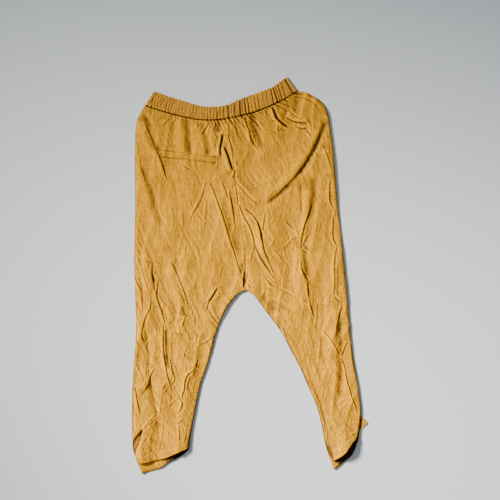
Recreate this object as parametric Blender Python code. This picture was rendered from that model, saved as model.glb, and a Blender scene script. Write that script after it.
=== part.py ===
"""Cropped trousers with an elastic waist, lying flat on a surface with the back up.

The waist is an elastic casing, a flattened ring of gathered cloth. Each leg is a back
panel that lies on a front panel, joined down the side and down the inside of the leg,
and the two legs meet in a seam down the middle. One welt pocket sits on the left back.
The tables are in millimetres: x runs across to the wearer's right, y up towards the
waist, and z up from the surface. The origin is at the bottom centre of the whole.
"""

from typing import NamedTuple

import bmesh
import bpy
import numpy as np

# Driving dimensions, in millimetres
WALL = 1.5
SEAM_GAP = 0.3
CLOTH_TOP = 6.7
SEAM_HEIGHT = 3.0
BACK_ROUNDING = 8.0
WALL_LIMIT = 2.2
CENTRE_DIP = 0.8
CROTCH = 400.0
HEM = 790.0
WAIST_FADE = 90.0
HEM_FADE = 100.0
CROTCH_EASE = 45.0
BAND_HEIGHT = 7.2
BAND_WALL = 2.2
BAND_GATHERS = 42
GATHER_RIDGE = 1.3
POCKET_TOP = 95.0
POCKET_WIDTH = 12.0
POCKET_THICKNESS = 1.2
POCKET_START = 0.268
POCKET_END = 0.834
SLIT_TOP = 728.0
SLIT_INSET = 24.0
FLAP_LEVEL = 747.0
FLAP_LENGTH = 19.0
FLAP_REACH = 17.0
MIDDLE_X = 1.6
MIDDLE_Y = 1.0
MILLIMETRE = 0.001

# Grid sizes
BACK_COLUMNS = 12
FRONT_COLUMNS = 6
GATHER_STEPS = 4
PLAIN_BAND_STEPS = 24
BAND_ROWS = (0.0, 0.4, 0.9, 1.0)
BAND_ROW_RIDGE = (0.8, 1.0, 0.7, 0.4)
BACK_EDGE_ANGLES = np.radians((0.0, 30.0, 60.0, 90.0))
FRONT_EDGE_ANGLES = np.radians((0.0, 45.0, 90.0))
BAND_END_ANGLES = np.radians((60.0, 30.0, 0.0, -30.0, -60.0))


class WaistStation(NamedTuple):
    """A place along the waistband: its free top edge and the seam under it."""

    along: float
    top_x: float
    top_y: float
    seam_x: float
    seam_y: float


WAIST = (
    WaistStation(0.000, -223, 434, -245, 400),
    WaistStation(0.115, -189, 422, -209, 388),
    WaistStation(0.250, -150, 410, -162, 375.5),
    WaistStation(0.390, -106, 398.5, -113, 366.5),
    WaistStation(0.520, -59, 400.5, -63.5, 367.5),
    WaistStation(0.650, -14, 418.5, -14, 377.5),
    WaistStation(0.770, 22, 431, 29, 390.5),
    WaistStation(0.890, 57.5, 446, 72, 410),
    WaistStation(1.000, 88, 468, 113, 434),
)
WAIST_CENTRE = 0.520


class BodySection(NamedTuple):
    """A level of the body, measured down the centre seam, and three points across it."""

    level: float
    left_x: float
    left_y: float
    centre_x: float
    centre_y: float
    right_x: float
    right_y: float


BODY = (
    BodySection(0, -245, 400, -63.5, 367.5, 113, 434),
    BodySection(18, -254, 385, -56.5, 349.5, 136, 430.5),
    BodySection(37, -263, 366, -49.5, 331, 161, 416.5),
    BodySection(65, -267, 336.5, -41.5, 302.5, 183, 389.5),
    BodySection(95, -268, 301.5, -36, 272.5, 192, 342.5),
    BodySection(130, -268.5, 262.5, -33, 237.5, 199, 288.5),
    BodySection(180, -268, 209.5, -28, 187.5, 204.5, 220.5),
    BodySection(235, -268, 153.5, -20.5, 132.5, 210, 154.5),
    BodySection(290, -269, 94.5, -13.5, 77.5, 217.5, 91),
    BodySection(345, -270, 30, -9, 22.5, 224, 30),
    BodySection(400, -268, -33.5, -8, -32.5, 230, -29),
)


class LegSection(NamedTuple):
    """A level of one leg: its outer side seam and its inseam."""

    level: float
    side_x: float
    side_y: float
    inseam_x: float
    inseam_y: float


LEFT_LEG = (
    LegSection(400, -268, -33.5, -8, -32.5),
    LegSection(430, -267, -64, -30.5, -48.5),
    LegSection(455, -266, -90, -51.5, -76),
    LegSection(500, -266, -134.5, -75, -130),
    LegSection(540, -268.5, -174.5, -87, -174.5),
    LegSection(585, -272, -221.5, -100.5, -219),
    LegSection(630, -274.5, -264, -114, -259),
    LegSection(680, -275.5, -313, -124.5, -308.5),
    LegSection(730, -275, -362.5, -133, -351),
    LegSection(760, -272.5, -409.5, -138.5, -381),
    LegSection(790, -259, -442.5, -142, -405),
)
RIGHT_LEG = (
    LegSection(400, 230, -29, -8, -32.5),
    LegSection(430, 232.5, -60.5, 14, -48.5),
    LegSection(455, 235, -87.5, 35.5, -78),
    LegSection(500, 238.5, -132, 75, -131),
    LegSection(540, 243, -174.5, 98.5, -175.5),
    LegSection(585, 249, -215.5, 120.5, -217),
    LegSection(630, 256, -255.5, 138.5, -259),
    LegSection(680, 262, -296.5, 157.5, -302.5),
    LegSection(730, 263, -332, 170.5, -350.5),
    LegSection(760, 260, -355.5, 180, -394),
    LegSection(790, 255, -379, 197.5, -435.5),
)


class HemPoint(NamedTuple):
    """A place across a hem, from the side to the inseam: how far the cloth reaches
    past the straight line between those two seams, and how far it slides along it."""

    across: float
    reach: float
    slide: float


LEFT_BACK_HEM = (
    HemPoint(0.00, 0, 0),
    HemPoint(0.20, 3, 0),
    HemPoint(0.55, 5.5, 0),
    HemPoint(0.70, 3, 0),
    HemPoint(1.00, 0, 0),
)
LEFT_FRONT_HEM = (
    HemPoint(0.00, 24.5, 0),
    HemPoint(0.20, 26, 0),
    HemPoint(0.32, 26, 0),
    HemPoint(0.58, 18, 0),
    HemPoint(0.86, 11.5, 0),
    HemPoint(1.00, 4, 0),
)
RIGHT_BACK_HEM = (
    HemPoint(0.00, 0, 0),
    HemPoint(0.20, 0, 0),
    HemPoint(0.63, 5, 0),
    HemPoint(1.00, 0, 0),
)
RIGHT_FRONT_HEM = (
    HemPoint(0.00, 5, 0),
    HemPoint(0.23, 14.5, 0),
    HemPoint(0.44, 21, 0),
    HemPoint(0.80, 20, 0),
    HemPoint(1.00, 17, 13),
)


class Fold(NamedTuple):
    """A ridge in the back, from a start to an end. Bow is how far its middle stands
    off the straight line, towards the lower right. Its two slopes are how far it
    spreads to the upper left and to the lower right."""

    start_x: float
    start_y: float
    end_x: float
    end_y: float
    bow: float
    height: float
    slope_up_left: float
    slope_low_right: float


FOLDS = (
    # Hip and side of the left leg
    Fold(-254, 372, -200, 220, 2, 7, 20, 9),
    Fold(-256, 240, -216, 105, 0, 3, 12, 12),
    Fold(-250, 62, -232, -45, 0, 4, 14, 10),
    Fold(-230, -52, -252, -160, 0, 4, 16, 11),
    # Gathers that run on below the waistband
    Fold(-68, 345, -74, 275, 0, 5, 15, 7),
    Fold(-66, 308, -45, 240, 0, 5, 12, 8),
    Fold(-14, 378, 8, 308, 4, 4, 16, 9),
    Fold(50, 396, 85, 347, 0, 5, 16, 9),
    # Shelf across the right hip
    Fold(82, 380, 140, 360, -3, 5, 16, 11),
    # Deep fold from the right hip to the middle, and its short left arm
    Fold(172, 368, 34, 172, 22, 9, 36, 10),
    Fold(-32, 216, 24, 168, 0, 5, 14, 12),
    Fold(174, 305, 195, 232, 0, 3, 12, 10),
    # Thighs
    Fold(-98, 220, -18, 0, 4, 6, 22, 9),
    Fold(-12, 152, 46, 30, 2, 5, 13, 10),
    Fold(143, 214, 118, 72, 4, 7, 26, 9),
    Fold(118, 72, 145, -92, -4, 7, 22, 10),
    Fold(-188, 32, -148, -88, 0, 4, 18, 10),
    Fold(-150, -90, -162, -140, 0, 4, 16, 10),
    # Lower legs
    Fold(-209, -115, -188, -282, 4, 6, 20, 11),
    Fold(-223, -212, -254, -274, 0, 5, 16, 10),
    Fold(-130, -192, -160, -294, 4, 5, 16, 9),
    Fold(206, -64, 208, -194, -6, 6, 16, 11),
    Fold(208, -196, 248, -318, 2, 5, 18, 10),
    Fold(134, -245, 188, -420, 4, 4, 10, 12),
    Fold(-250, -366, -216, -328, 0, 3, 12, 10),
    # Hems that stand open
    Fold(-186, -462, -160, -378, 0, 6, 24, 22),
    Fold(236, -424, 208, -355, 0, 17, 27, 27),
)


def smooth(stations, values, at):
    """A curve through the table's values: cubic pieces whose slopes at each station
    are the average of the straight slopes on its two sides."""
    stations = np.array(stations, float)
    values = np.array(values, float)
    slopes = np.gradient(values, stations)
    last = len(stations) - 2
    cell = np.clip(np.searchsorted(stations, at, side="right") - 1, 0, last)
    width = stations[cell + 1] - stations[cell]
    share = (at - stations[cell]) / width
    rest = 1 - share
    return (
        values[cell] * (1 + 2 * share) * rest**2
        + values[cell + 1] * share**2 * (3 - 2 * share)
        + slopes[cell] * width * share * rest**2
        - slopes[cell + 1] * width * share**2 * rest
    )


def along_table(table, key, names, at):
    """Smooth curves through the named columns of a table, over its key column."""
    stations = [getattr(row, key) for row in table]
    return [smooth(stations, [getattr(row, name) for row in table], at) for name in names]


def ease(value):
    """A soft step from 0 to 1 as the value goes from 0 to 1."""
    value = np.clip(value, 0, 1)
    return value * value * (3 - 2 * value)


def fold_height(fold, x, y):
    """How far one fold raises the cloth: a bell across it, lower towards its ends."""
    run_x = fold.end_x - fold.start_x
    run_y = fold.end_y - fold.start_y
    length = np.hypot(run_x, run_y)
    side = 1 if run_y < run_x else -1
    across_x = side * -run_y / length
    across_y = side * run_x / length
    if across_x - across_y < 0:
        across_x, across_y = -across_x, -across_y
    from_x = x - fold.start_x
    from_y = y - fold.start_y
    along = (from_x * run_x + from_y * run_y) / length**2
    inside = np.clip(along, 0, 1)
    off = from_x * across_x + from_y * across_y - fold.bow * 4 * inside * (1 - inside)
    spread = np.where(off < 0, fold.slope_up_left, fold.slope_low_right)
    past_end = (along - inside) * length
    end_fade = ease(inside * 5) * ease((1 - inside) * 5)
    return fold.height * end_fade * np.exp(-((off / spread) ** 2) - (past_end / 10) ** 2)


def cloth_height(x, y):
    """Top of the back's cloth over the surface, with every fold."""
    return CLOTH_TOP + sum(fold_height(fold, x, y) for fold in FOLDS)


def cloth_slope(x, y):
    """Steepness of the back's cloth."""
    slope_x = (cloth_height(x + 1, y) - cloth_height(x - 1, y)) / 2
    slope_y = (cloth_height(x, y + 1) - cloth_height(x, y - 1)) / 2
    return np.hypot(slope_x, slope_y)


def side_edge(right, level):
    """The side seam of one leg, from the waist to the hem."""
    body_names = ("right_x", "right_y") if right else ("left_x", "left_y")
    leg = RIGHT_LEG if right else LEFT_LEG
    body_x, body_y = along_table(BODY, "level", body_names, level)
    leg_x, leg_y = along_table(leg, "level", ("side_x", "side_y"), level)
    return np.where(level < CROTCH, body_x, leg_x), np.where(level < CROTCH, body_y, leg_y)


def inner_edge(right, level):
    """The centre seam down to the crotch, then the inseam of one leg."""
    leg = RIGHT_LEG if right else LEFT_LEG
    body_x, body_y = along_table(BODY, "level", ("centre_x", "centre_y"), level)
    leg_x, leg_y = along_table(leg, "level", ("inseam_x", "inseam_y"), level)
    return np.where(level < CROTCH, body_x, leg_x), np.where(level < CROTCH, body_y, leg_y)


def panel_plan(right, front, level, share):
    """Where a panel's points lie, seen from above. A row is the straight line from
    the side seam to the inner seam, plus the curve of the waist seam near the top
    and the curve of the hem near the bottom."""
    side_x, side_y = side_edge(right, level)
    seam_x, seam_y = inner_edge(right, level)
    if front and right:
        flap = np.clip(1 - np.abs(level - FLAP_LEVEL) / FLAP_LENGTH, 0, 1)
        side_x = side_x + FLAP_REACH * flap
    if not front and not right:
        slit = np.clip((level - SLIT_TOP) / (HEM - SLIT_TOP), 0, 1)
        side_x = side_x + SLIT_INSET * (1 - slit) * (level > SLIT_TOP)
    x = side_x + share * (seam_x - side_x)
    y = side_y + share * (seam_y - side_y)
    ends = BODY[0]
    waist_share = 1 - share * (1 - WAIST_CENTRE) if right else share * WAIST_CENTRE
    waist_x, waist_y = along_table(WAIST, "along", ("seam_x", "seam_y"), waist_share)
    top_x = ends.right_x if right else ends.left_x
    top_y = ends.right_y if right else ends.left_y
    near_waist = 1 - ease(level / WAIST_FADE)
    x = x + near_waist * (waist_x - top_x - share * (ends.centre_x - top_x))
    y = y + near_waist * (waist_y - top_y - share * (ends.centre_y - top_y))
    foot = (RIGHT_LEG if right else LEFT_LEG)[-1]
    run_x = foot.inseam_x - foot.side_x
    run_y = foot.inseam_y - foot.side_y
    run = np.hypot(run_x, run_y)
    turn = -1 if right else 1
    hems = {
        (False, False): LEFT_BACK_HEM,
        (False, True): LEFT_FRONT_HEM,
        (True, False): RIGHT_BACK_HEM,
        (True, True): RIGHT_FRONT_HEM,
    }
    reach, slide = along_table(hems[right, front], "across", ("reach", "slide"), share)
    near_hem = np.clip((level - HEM + HEM_FADE) / HEM_FADE, 0, 1) ** 2
    x = x + near_hem * (turn * reach * run_y + slide * run_x) / run
    y = y + near_hem * (-turn * reach * run_x + slide * run_y) / run
    return x, y


def level_rows(*stretches):
    """Levels down a panel: even steps in each stretch, given as its end and steps."""
    rows = [0.0]
    for end, steps in stretches:
        rows.extend(np.linspace(rows[-1], end, steps + 1)[1:])
    return np.array(rows)[:, None]


def column_shares(level, right, offsets, middle):
    """Shares across each row. The first and last columns stand at the given distances
    from the two edges, so that the rounding keeps its size; the rest are spread out."""
    side_x, side_y = side_edge(right, level)
    seam_x, seam_y = inner_edge(right, level)
    width = np.hypot(seam_x - side_x, seam_y - side_y)
    from_side = offsets / width
    from_seam = 1 - offsets[::-1] / width
    first = from_side[:, -1:]
    last = from_seam[:, :1]
    return np.hstack([from_side, first + (last - first) * middle, from_seam])


def back_panel(right):
    """Outer and inner points of one back panel, which lies on top."""
    level = level_rows((POCKET_TOP, 7), (POCKET_TOP + POCKET_WIDTH, 1), (CROTCH, 16), (HEM, 25))
    cosine = np.cos(BACK_EDGE_ANGLES)
    sine = np.sin(BACK_EDGE_ANGLES)
    if right:
        middle = np.linspace(0, 1, BACK_COLUMNS + 2)[1:-1]
    else:
        before = np.linspace(0, POCKET_START, 4)[1:]
        beside = np.linspace(POCKET_START, POCKET_END, 8)[1:]
        after = np.linspace(POCKET_END, 1, 4)[1:-1]
        middle = np.concatenate([before, beside, after])
    leg_share = ease((level - CROTCH) / CROTCH_EASE + 0.3)
    outer_offsets = BACK_ROUNDING * (1 - cosine)
    share = column_shares(level, right, outer_offsets, middle)
    side_lift = np.concatenate([sine, np.ones(len(middle) + len(sine))])
    seam_lift = np.concatenate([np.ones(len(middle) + len(sine)), sine[::-1]])
    lift = side_lift * (1 - leg_share * (1 - seam_lift))
    x, y = panel_plan(right, False, level, share)
    height = cloth_height(x, y)
    on_seam = np.zeros(share.shape[1])
    on_seam[-1] = CENTRE_DIP
    rim = SEAM_HEIGHT + SEAM_GAP / 2
    height = height - on_seam * (1 - leg_share)
    top = rim + (height - rim) * lift
    thickness = np.minimum(WALL * np.hypot(1, cloth_slope(x, y)), WALL_LIMIT)
    under = rim + (height - thickness - rim) * lift
    inward = np.zeros(share.shape)
    side_x, side_y = side_edge(right, level)
    seam_x, seam_y = inner_edge(right, level)
    width = np.hypot(seam_x - side_x, seam_y - side_y)
    inward[:, : len(cosine)] = WALL * cosine / width
    inward[:, -len(cosine) :] = -WALL * cosine[::-1] * leg_share / width
    inner_x, inner_y = panel_plan(right, False, level, share + inward)
    return clear_of_seams(right, (x, y, top), (inner_x, inner_y, under))


def front_panel(right):
    """Outer and inner points of one front panel, flat on the surface."""
    level = level_rows((WAIST_FADE, 4), (CROTCH, 9), (HEM - HEM_FADE, 8), (HEM, 10))
    radius = SEAM_HEIGHT - SEAM_GAP / 2
    cosine = np.cos(FRONT_EDGE_ANGLES)
    sine = np.sin(FRONT_EDGE_ANGLES)
    middle = np.linspace(0, 1, FRONT_COLUMNS + 2)[1:-1]
    leg_share = ease((level - CROTCH) / CROTCH_EASE + 0.3)
    share = column_shares(level, right, radius * (1 - cosine), middle)
    side_lift = np.concatenate([sine, np.ones(len(middle) + len(sine))])
    seam_lift = np.concatenate([np.ones(len(middle) + len(sine)), sine[::-1]])
    drop = side_lift * (1 - leg_share * (1 - seam_lift))
    x, y = panel_plan(right, True, level, share)
    under = radius * (1 - drop)
    top = radius - (radius - WALL) * drop
    side_x, side_y = side_edge(right, level)
    seam_x, seam_y = inner_edge(right, level)
    width = np.hypot(seam_x - side_x, seam_y - side_y)
    inward = np.zeros(share.shape)
    inward[:, : len(cosine)] = WALL * cosine / width
    inward[:, -len(cosine) :] = -WALL * cosine[::-1] * leg_share / width
    inner_x, inner_y = panel_plan(right, True, level, share + inward)
    return clear_of_seams(right, (x, y, under), (inner_x, inner_y, top))


def clear_of_seams(right, *surfaces):
    """Each surface as one grid, pulled back from the waist and from the centre seam."""
    grids = []
    for x, y, z in surfaces:
        grid = np.stack(np.broadcast_arrays(x, y, z), axis=-1)
        grid[:, -1, 0] += SEAM_GAP * 0.6 if right else -SEAM_GAP * 0.6
        grid[0, :, 1] -= SEAM_GAP * 0.6
        grids.append(grid)
    return grids


def gather_ridge(along):
    """Height of the waistband's gathers: a wave whose spacing and depth both wander,
    closest and deepest to the right of the centre."""
    crowd = 0.020 * np.sin(9.0 * along + 0.6) + 0.006 * np.sin(31.0 * along)
    wave = 0.5 + 0.5 * np.cos(2 * np.pi * BAND_GATHERS * (along + crowd))
    depth = 0.62 + 0.2 * np.sin(7.0 * along - 1.9) + 0.18 * np.sin(43.0 * along)
    return GATHER_RIDGE * depth * wave


def band_point(along, across):
    """A place on the waistband seen from above: straight across from its top edge to
    the seam."""
    top_x, top_y = along_table(WAIST, "along", ("top_x", "top_y"), along)
    seam_x, seam_y = along_table(WAIST, "along", ("seam_x", "seam_y"), along)
    return top_x + across * (seam_x - top_x), top_y + across * (seam_y - top_y)


def band_loop(half_height, end_reach, length):
    """One turn round the flattened waistband: along it, how high, and where it is
    gathered. The ends are half circles."""
    start = end_reach / length
    gathered = np.linspace(start, 1 - start, BAND_GATHERS * GATHER_STEPS + 1)
    plain = np.linspace(1 - start, start, PLAIN_BAND_STEPS + 1)
    turn_in = (end_reach - half_height * np.cos(BAND_END_ANGLES)) / length
    turn_up = half_height * np.sin(BAND_END_ANGLES)
    along = np.concatenate([gathered, 1 - turn_in, plain, turn_in[::-1]])
    high = np.concatenate(
        [
            np.full(len(gathered), half_height),
            turn_up,
            np.full(len(plain), -half_height),
            turn_up[::-1],
        ]
    )
    ridged = np.concatenate([np.ones(len(gathered)), np.zeros(len(along) - len(gathered))])
    return along, high + BAND_HEIGHT / 2, ridged


def waistband():
    """Outer and inner points of the elastic casing. Each column is a turn round the
    ring; the gathers are raised in the outer points over a plain inside."""
    length = np.hypot(WAIST[-1].seam_x - WAIST[0].seam_x, WAIST[-1].seam_y - WAIST[0].seam_y)
    half = BAND_HEIGHT / 2
    seam_pull = 1 - SEAM_GAP * 0.5 / abs(WAIST[4].top_y - WAIST[4].seam_y)
    across = np.array(BAND_ROWS)[:, None] * seam_pull
    along, high, ridged = band_loop(half, half, length)
    x, y = band_point(along[None, :], across)
    ends = ease(np.minimum(along, 1 - along) * 40)
    ridge = gather_ridge(along) * ridged * ends * np.array(BAND_ROW_RIDGE)[:, None]
    outer = np.stack(np.broadcast_arrays(x, y, high + ridge), axis=-1)
    along, high, ridged = band_loop(half - BAND_WALL, half, length)
    x, y = band_point(along[None, :], across)
    inner = np.stack(np.broadcast_arrays(x, y, high + 0 * across), axis=-1)
    return outer, inner


def pocket_welt(panel_top):
    """Upper and lower points of the welt: the back panel's own points between the
    pocket's rows and columns, moved out."""
    first_row = 7
    first_column = len(BACK_EDGE_ANGLES) + 2
    patch = panel_top[first_row : first_row + 2, first_column : first_column + 8]
    lower = patch + np.array((0, 0, SEAM_GAP))
    upper = patch + np.array((0, 0, SEAM_GAP + POCKET_THICKNESS))
    return upper, lower


def cloth_material(name, colour, roughness):
    """A plain woven cloth."""
    material = bpy.data.materials.new(name)
    material.use_nodes = True
    shader = material.node_tree.nodes["Principled BSDF"]
    shader.inputs["Base Color"].default_value = (*colour, 1)
    shader.inputs["Roughness"].default_value = roughness
    shader.inputs["Metallic"].default_value = 0
    material.diffuse_color = (*colour, 1)
    return material


def grid_faces(rows, columns, first, closed):
    """Four-cornered faces between the points of a grid that starts at one index."""
    faces = []
    spans = columns if closed else columns - 1
    for row in range(rows - 1):
        for column in range(spans):
            beside = (column + 1) % columns
            near = first + row * columns
            far = near + columns
            faces.append((near + column, near + beside, far + beside, far + column))
    return faces


def rim_faces(ring, offset, closed):
    """Faces that join an edge of the outer grid to the same edge of the inner one."""
    pairs = list(zip(ring, ring[1:]))
    if closed:
        pairs.append((ring[-1], ring[0]))
    return [(here, there, there + offset, here + offset) for here, there in pairs]


def add_wall(collection, name, outer, inner, material, closed=False):
    """A wall of cloth between two grids of points, closed along its edges. A closed
    wall also runs round from its last column to its first."""
    rows, columns = outer.shape[:2]
    count = rows * columns
    points = np.concatenate([outer.reshape(-1, 3), inner.reshape(-1, 3)])
    points[:, :2] -= (MIDDLE_X, MIDDLE_Y)
    faces = grid_faces(rows, columns, 0, closed) + grid_faces(rows, columns, count, closed)
    top = list(range(columns))
    bottom = list(range(count - columns, count))
    if closed:
        faces += rim_faces(top, count, True) + rim_faces(bottom, count, True)
    else:
        left = list(range(0, count, columns))
        right = list(range(columns - 1, count, columns))
        edge = top + right[1:] + bottom[-2::-1] + left[-2:0:-1]
        faces += rim_faces(edge, count, True)
    mesh = bpy.data.meshes.new(name)
    mesh.from_pydata((points * MILLIMETRE).tolist(), [], faces)
    body = bmesh.new()
    body.from_mesh(mesh)
    bmesh.ops.recalc_face_normals(body, faces=body.faces)
    body.to_mesh(mesh)
    body.free()
    mesh.shade_smooth()
    mesh.set_sharp_from_angle(angle=np.radians(40))
    mesh.materials.append(material)
    item = bpy.data.objects.new(name, mesh)
    collection.objects.link(item)
    return item


def main():
    for item in list(bpy.data.objects):
        bpy.data.objects.remove(item)
    trousers = bpy.data.collections.new("cropped_trousers")
    bpy.context.scene.collection.children.link(trousers)
    colours = {
        "waistband": (0.55, 0.29, 0.07),
        "left_back_panel": (0.60, 0.33, 0.08),
        "right_back_panel": (0.61, 0.34, 0.085),
        "left_front_panel": (0.52, 0.27, 0.065),
        "right_front_panel": (0.50, 0.26, 0.06),
        "back_pocket_welt": (0.63, 0.36, 0.10),
    }
    cloth = {name: cloth_material(name, colour, 0.9) for name, colour in colours.items()}
    left_top, left_under = back_panel(False)
    add_wall(trousers, "left_back_panel", left_top, left_under, cloth["left_back_panel"])
    add_wall(trousers, "right_back_panel", *back_panel(True), cloth["right_back_panel"])
    add_wall(trousers, "left_front_panel", *front_panel(False), cloth["left_front_panel"])
    add_wall(trousers, "right_front_panel", *front_panel(True), cloth["right_front_panel"])
    add_wall(trousers, "waistband", *waistband(), cloth["waistband"], closed=True)
    add_wall(trousers, "back_pocket_welt", *pocket_welt(left_top), cloth["back_pocket_welt"])


main()
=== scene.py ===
from typing import NamedTuple

import bpy
import numpy as np
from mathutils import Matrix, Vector


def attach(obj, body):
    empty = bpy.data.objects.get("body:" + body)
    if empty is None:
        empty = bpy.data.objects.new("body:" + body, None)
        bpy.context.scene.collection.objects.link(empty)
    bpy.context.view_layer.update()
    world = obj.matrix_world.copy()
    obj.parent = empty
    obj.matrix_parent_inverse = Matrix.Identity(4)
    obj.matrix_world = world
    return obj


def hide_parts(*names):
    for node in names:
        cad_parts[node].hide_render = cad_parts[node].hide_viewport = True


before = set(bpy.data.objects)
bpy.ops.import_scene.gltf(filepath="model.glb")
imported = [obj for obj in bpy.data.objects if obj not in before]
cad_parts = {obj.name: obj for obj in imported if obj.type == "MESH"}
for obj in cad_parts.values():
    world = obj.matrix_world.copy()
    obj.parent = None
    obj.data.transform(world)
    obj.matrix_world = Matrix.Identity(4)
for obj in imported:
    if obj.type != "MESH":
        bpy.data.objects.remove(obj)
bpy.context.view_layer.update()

# Cropped ochre trousers with an elastic waist, lying flat with the back up.
# Every cloth surface is a grid of points over two parameters: how far across a panel a
# point lies, and how far down it. Sizes are in millimetres in the garment's own frame,
# x to the picture's right, y up to the waist; meshes are made in metres.
MILLIMETRE = 0.001

# Where the photograph shows the cloth: millimetres to a pixel, and its middle pixel
PHOTO_STEP = 2.35
PHOTO_MIDDLE_X = 249.0
PHOTO_MIDDLE_Y = 275.75

# Cut of the garment, in millimetres
MIDDLE_X = 1.6
MIDDLE_Y = 1.0
CLOTH_TOP = 6.7
SEAM_HEIGHT = 3.0
BACK_ROUNDING = 8.0
FRONT_ROUNDING = 2.85
CLOTH_THICKNESS = 0.9
CROTCH = 400.0
HEM = 790.0
FOLD_SHARE = 0.6
WAIST_FADE = 90.0
HEM_FADE = 100.0
CROTCH_EASE = 45.0
HEM_TURN = 18.0
# Strength of the painted highlight beside each crease, against its painted shade
PAINTED_HIGHLIGHT_SHARE = 0.55
LOWEST_TOP = 2.9
BAND_HEIGHT = 7.2
BAND_THICKNESS = 1.6
BAND_LENGTH = 366.0
POCKET_TOP = 95.0
POCKET_WIDTH = 12.0
POCKET_START = 0.284
POCKET_END = 0.811
FLAP_LEVEL = 747.0
FLAP_LENGTH = 19.0
FLAP_REACH = 17.0
WAIST_CENTRE = 0.520

# Grid sizes
BACK_ROWS = 352
BACK_COLUMNS = 112
FRONT_ROWS = 190
FRONT_COLUMNS = 56
EDGE_STEPS = 7
BAND_ROWS = 26
BAND_STEPS = 620
UNDER_BAND_STEPS = 280


class WaistStation(NamedTuple):
    """A place along the waistband: its free top edge and the seam under it."""

    along: float
    top_x: float
    top_y: float
    seam_x: float
    seam_y: float


WAIST = (
    WaistStation(0.000, -223, 434, -245, 400),
    WaistStation(0.115, -189, 422, -209, 388),
    WaistStation(0.250, -150, 410, -162, 375.5),
    WaistStation(0.390, -106, 398.5, -113, 366.5),
    WaistStation(0.520, -59, 400.5, -63.5, 367.5),
    WaistStation(0.650, -14, 418.5, -14, 377.5),
    WaistStation(0.770, 22, 431, 29, 390.5),
    WaistStation(0.890, 57.5, 446, 72, 410),
    WaistStation(1.000, 88, 468, 113, 434),
)


class BodySection(NamedTuple):
    """A level of the body, measured down the centre seam, and three points across it."""

    level: float
    left_x: float
    left_y: float
    centre_x: float
    centre_y: float
    right_x: float
    right_y: float


BODY = (
    BodySection(0, -245, 400, -63.5, 367.5, 113, 434),
    BodySection(18, -254, 385, -56.5, 349.5, 136, 430.5),
    BodySection(37, -263, 366, -49.5, 331, 161, 416.5),
    BodySection(65, -267, 336.5, -41.5, 302.5, 183, 389.5),
    BodySection(95, -268, 301.5, -36, 272.5, 192, 342.5),
    BodySection(130, -268.5, 262.5, -33, 237.5, 199, 288.5),
    BodySection(180, -268, 209.5, -28, 187.5, 204.5, 220.5),
    BodySection(235, -268, 153.5, -20.5, 132.5, 210, 154.5),
    BodySection(290, -269, 94.5, -13.5, 77.5, 217.5, 91),
    BodySection(345, -270, 30, -9, 22.5, 224, 30),
    BodySection(400, -268, -33.5, -8, -32.5, 230, -29),
)


class LegSection(NamedTuple):
    """A level of one leg: its outer side seam and its inseam."""

    level: float
    side_x: float
    side_y: float
    inseam_x: float
    inseam_y: float


LEFT_LEG = (
    LegSection(400, -268, -33.5, -8, -32.5),
    LegSection(430, -267, -64, -30.5, -48.5),
    LegSection(455, -266, -90, -51.5, -76),
    LegSection(500, -266, -134.5, -75, -130),
    LegSection(540, -268.5, -174.5, -87, -174.5),
    LegSection(585, -272, -221.5, -100.5, -219),
    LegSection(630, -274.5, -264, -114, -259),
    LegSection(680, -275.5, -313, -124.5, -308.5),
    LegSection(730, -275, -362.5, -133, -351),
    LegSection(760, -272.5, -409.5, -138.5, -381),
    LegSection(790, -259, -442.5, -142, -405),
)
RIGHT_LEG = (
    LegSection(400, 230, -29, -8, -32.5),
    LegSection(430, 232.5, -60.5, 14, -48.5),
    LegSection(455, 235, -87.5, 35.5, -78),
    LegSection(500, 238.5, -132, 75, -131),
    LegSection(540, 243, -174.5, 98.5, -175.5),
    LegSection(585, 249, -215.5, 120.5, -217),
    LegSection(630, 256, -255.5, 138.5, -259),
    LegSection(680, 262, -296.5, 157.5, -302.5),
    LegSection(730, 263, -332, 170.5, -350.5),
    LegSection(760, 260, -355.5, 180, -394),
    LegSection(790, 255, -379, 197.5, -435.5),
)


class HemPoint(NamedTuple):
    """A place across a hem, from the side to the inseam: how far the cloth reaches
    past the straight line between those two seams, and how far it slides along it."""

    across: float
    reach: float
    slide: float


LEFT_BACK_HEM = (
    HemPoint(0.00, 0, 0),
    HemPoint(0.20, 3, 0),
    HemPoint(0.55, 5.5, 0),
    HemPoint(0.70, 3, 0),
    HemPoint(1.00, 0, 0),
)
LEFT_FRONT_HEM = (
    HemPoint(0.00, 24.5, 0),
    HemPoint(0.20, 26, 0),
    HemPoint(0.32, 26, 0),
    HemPoint(0.58, 18, 0),
    HemPoint(0.86, 11.5, 0),
    HemPoint(1.00, 4, 0),
)
RIGHT_BACK_HEM = (
    HemPoint(0.00, 0, 0),
    HemPoint(0.20, 0, 0),
    HemPoint(0.63, 5, 0),
    HemPoint(1.00, 0, 0),
)
RIGHT_FRONT_HEM = (
    HemPoint(0.00, 5, 0),
    HemPoint(0.23, 14.5, 0),
    HemPoint(0.44, 21, 0),
    HemPoint(0.80, 20, 0),
    HemPoint(1.00, 17, 13),
)


class Fold(NamedTuple):
    """A ridge in the back, from a start to an end. Bow is how far its middle stands
    off the straight line, towards the lower right. Its two slopes are how far it
    spreads to the upper left and to the lower right."""

    start_x: float
    start_y: float
    end_x: float
    end_y: float
    bow: float
    height: float
    slope_up_left: float
    slope_low_right: float


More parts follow.
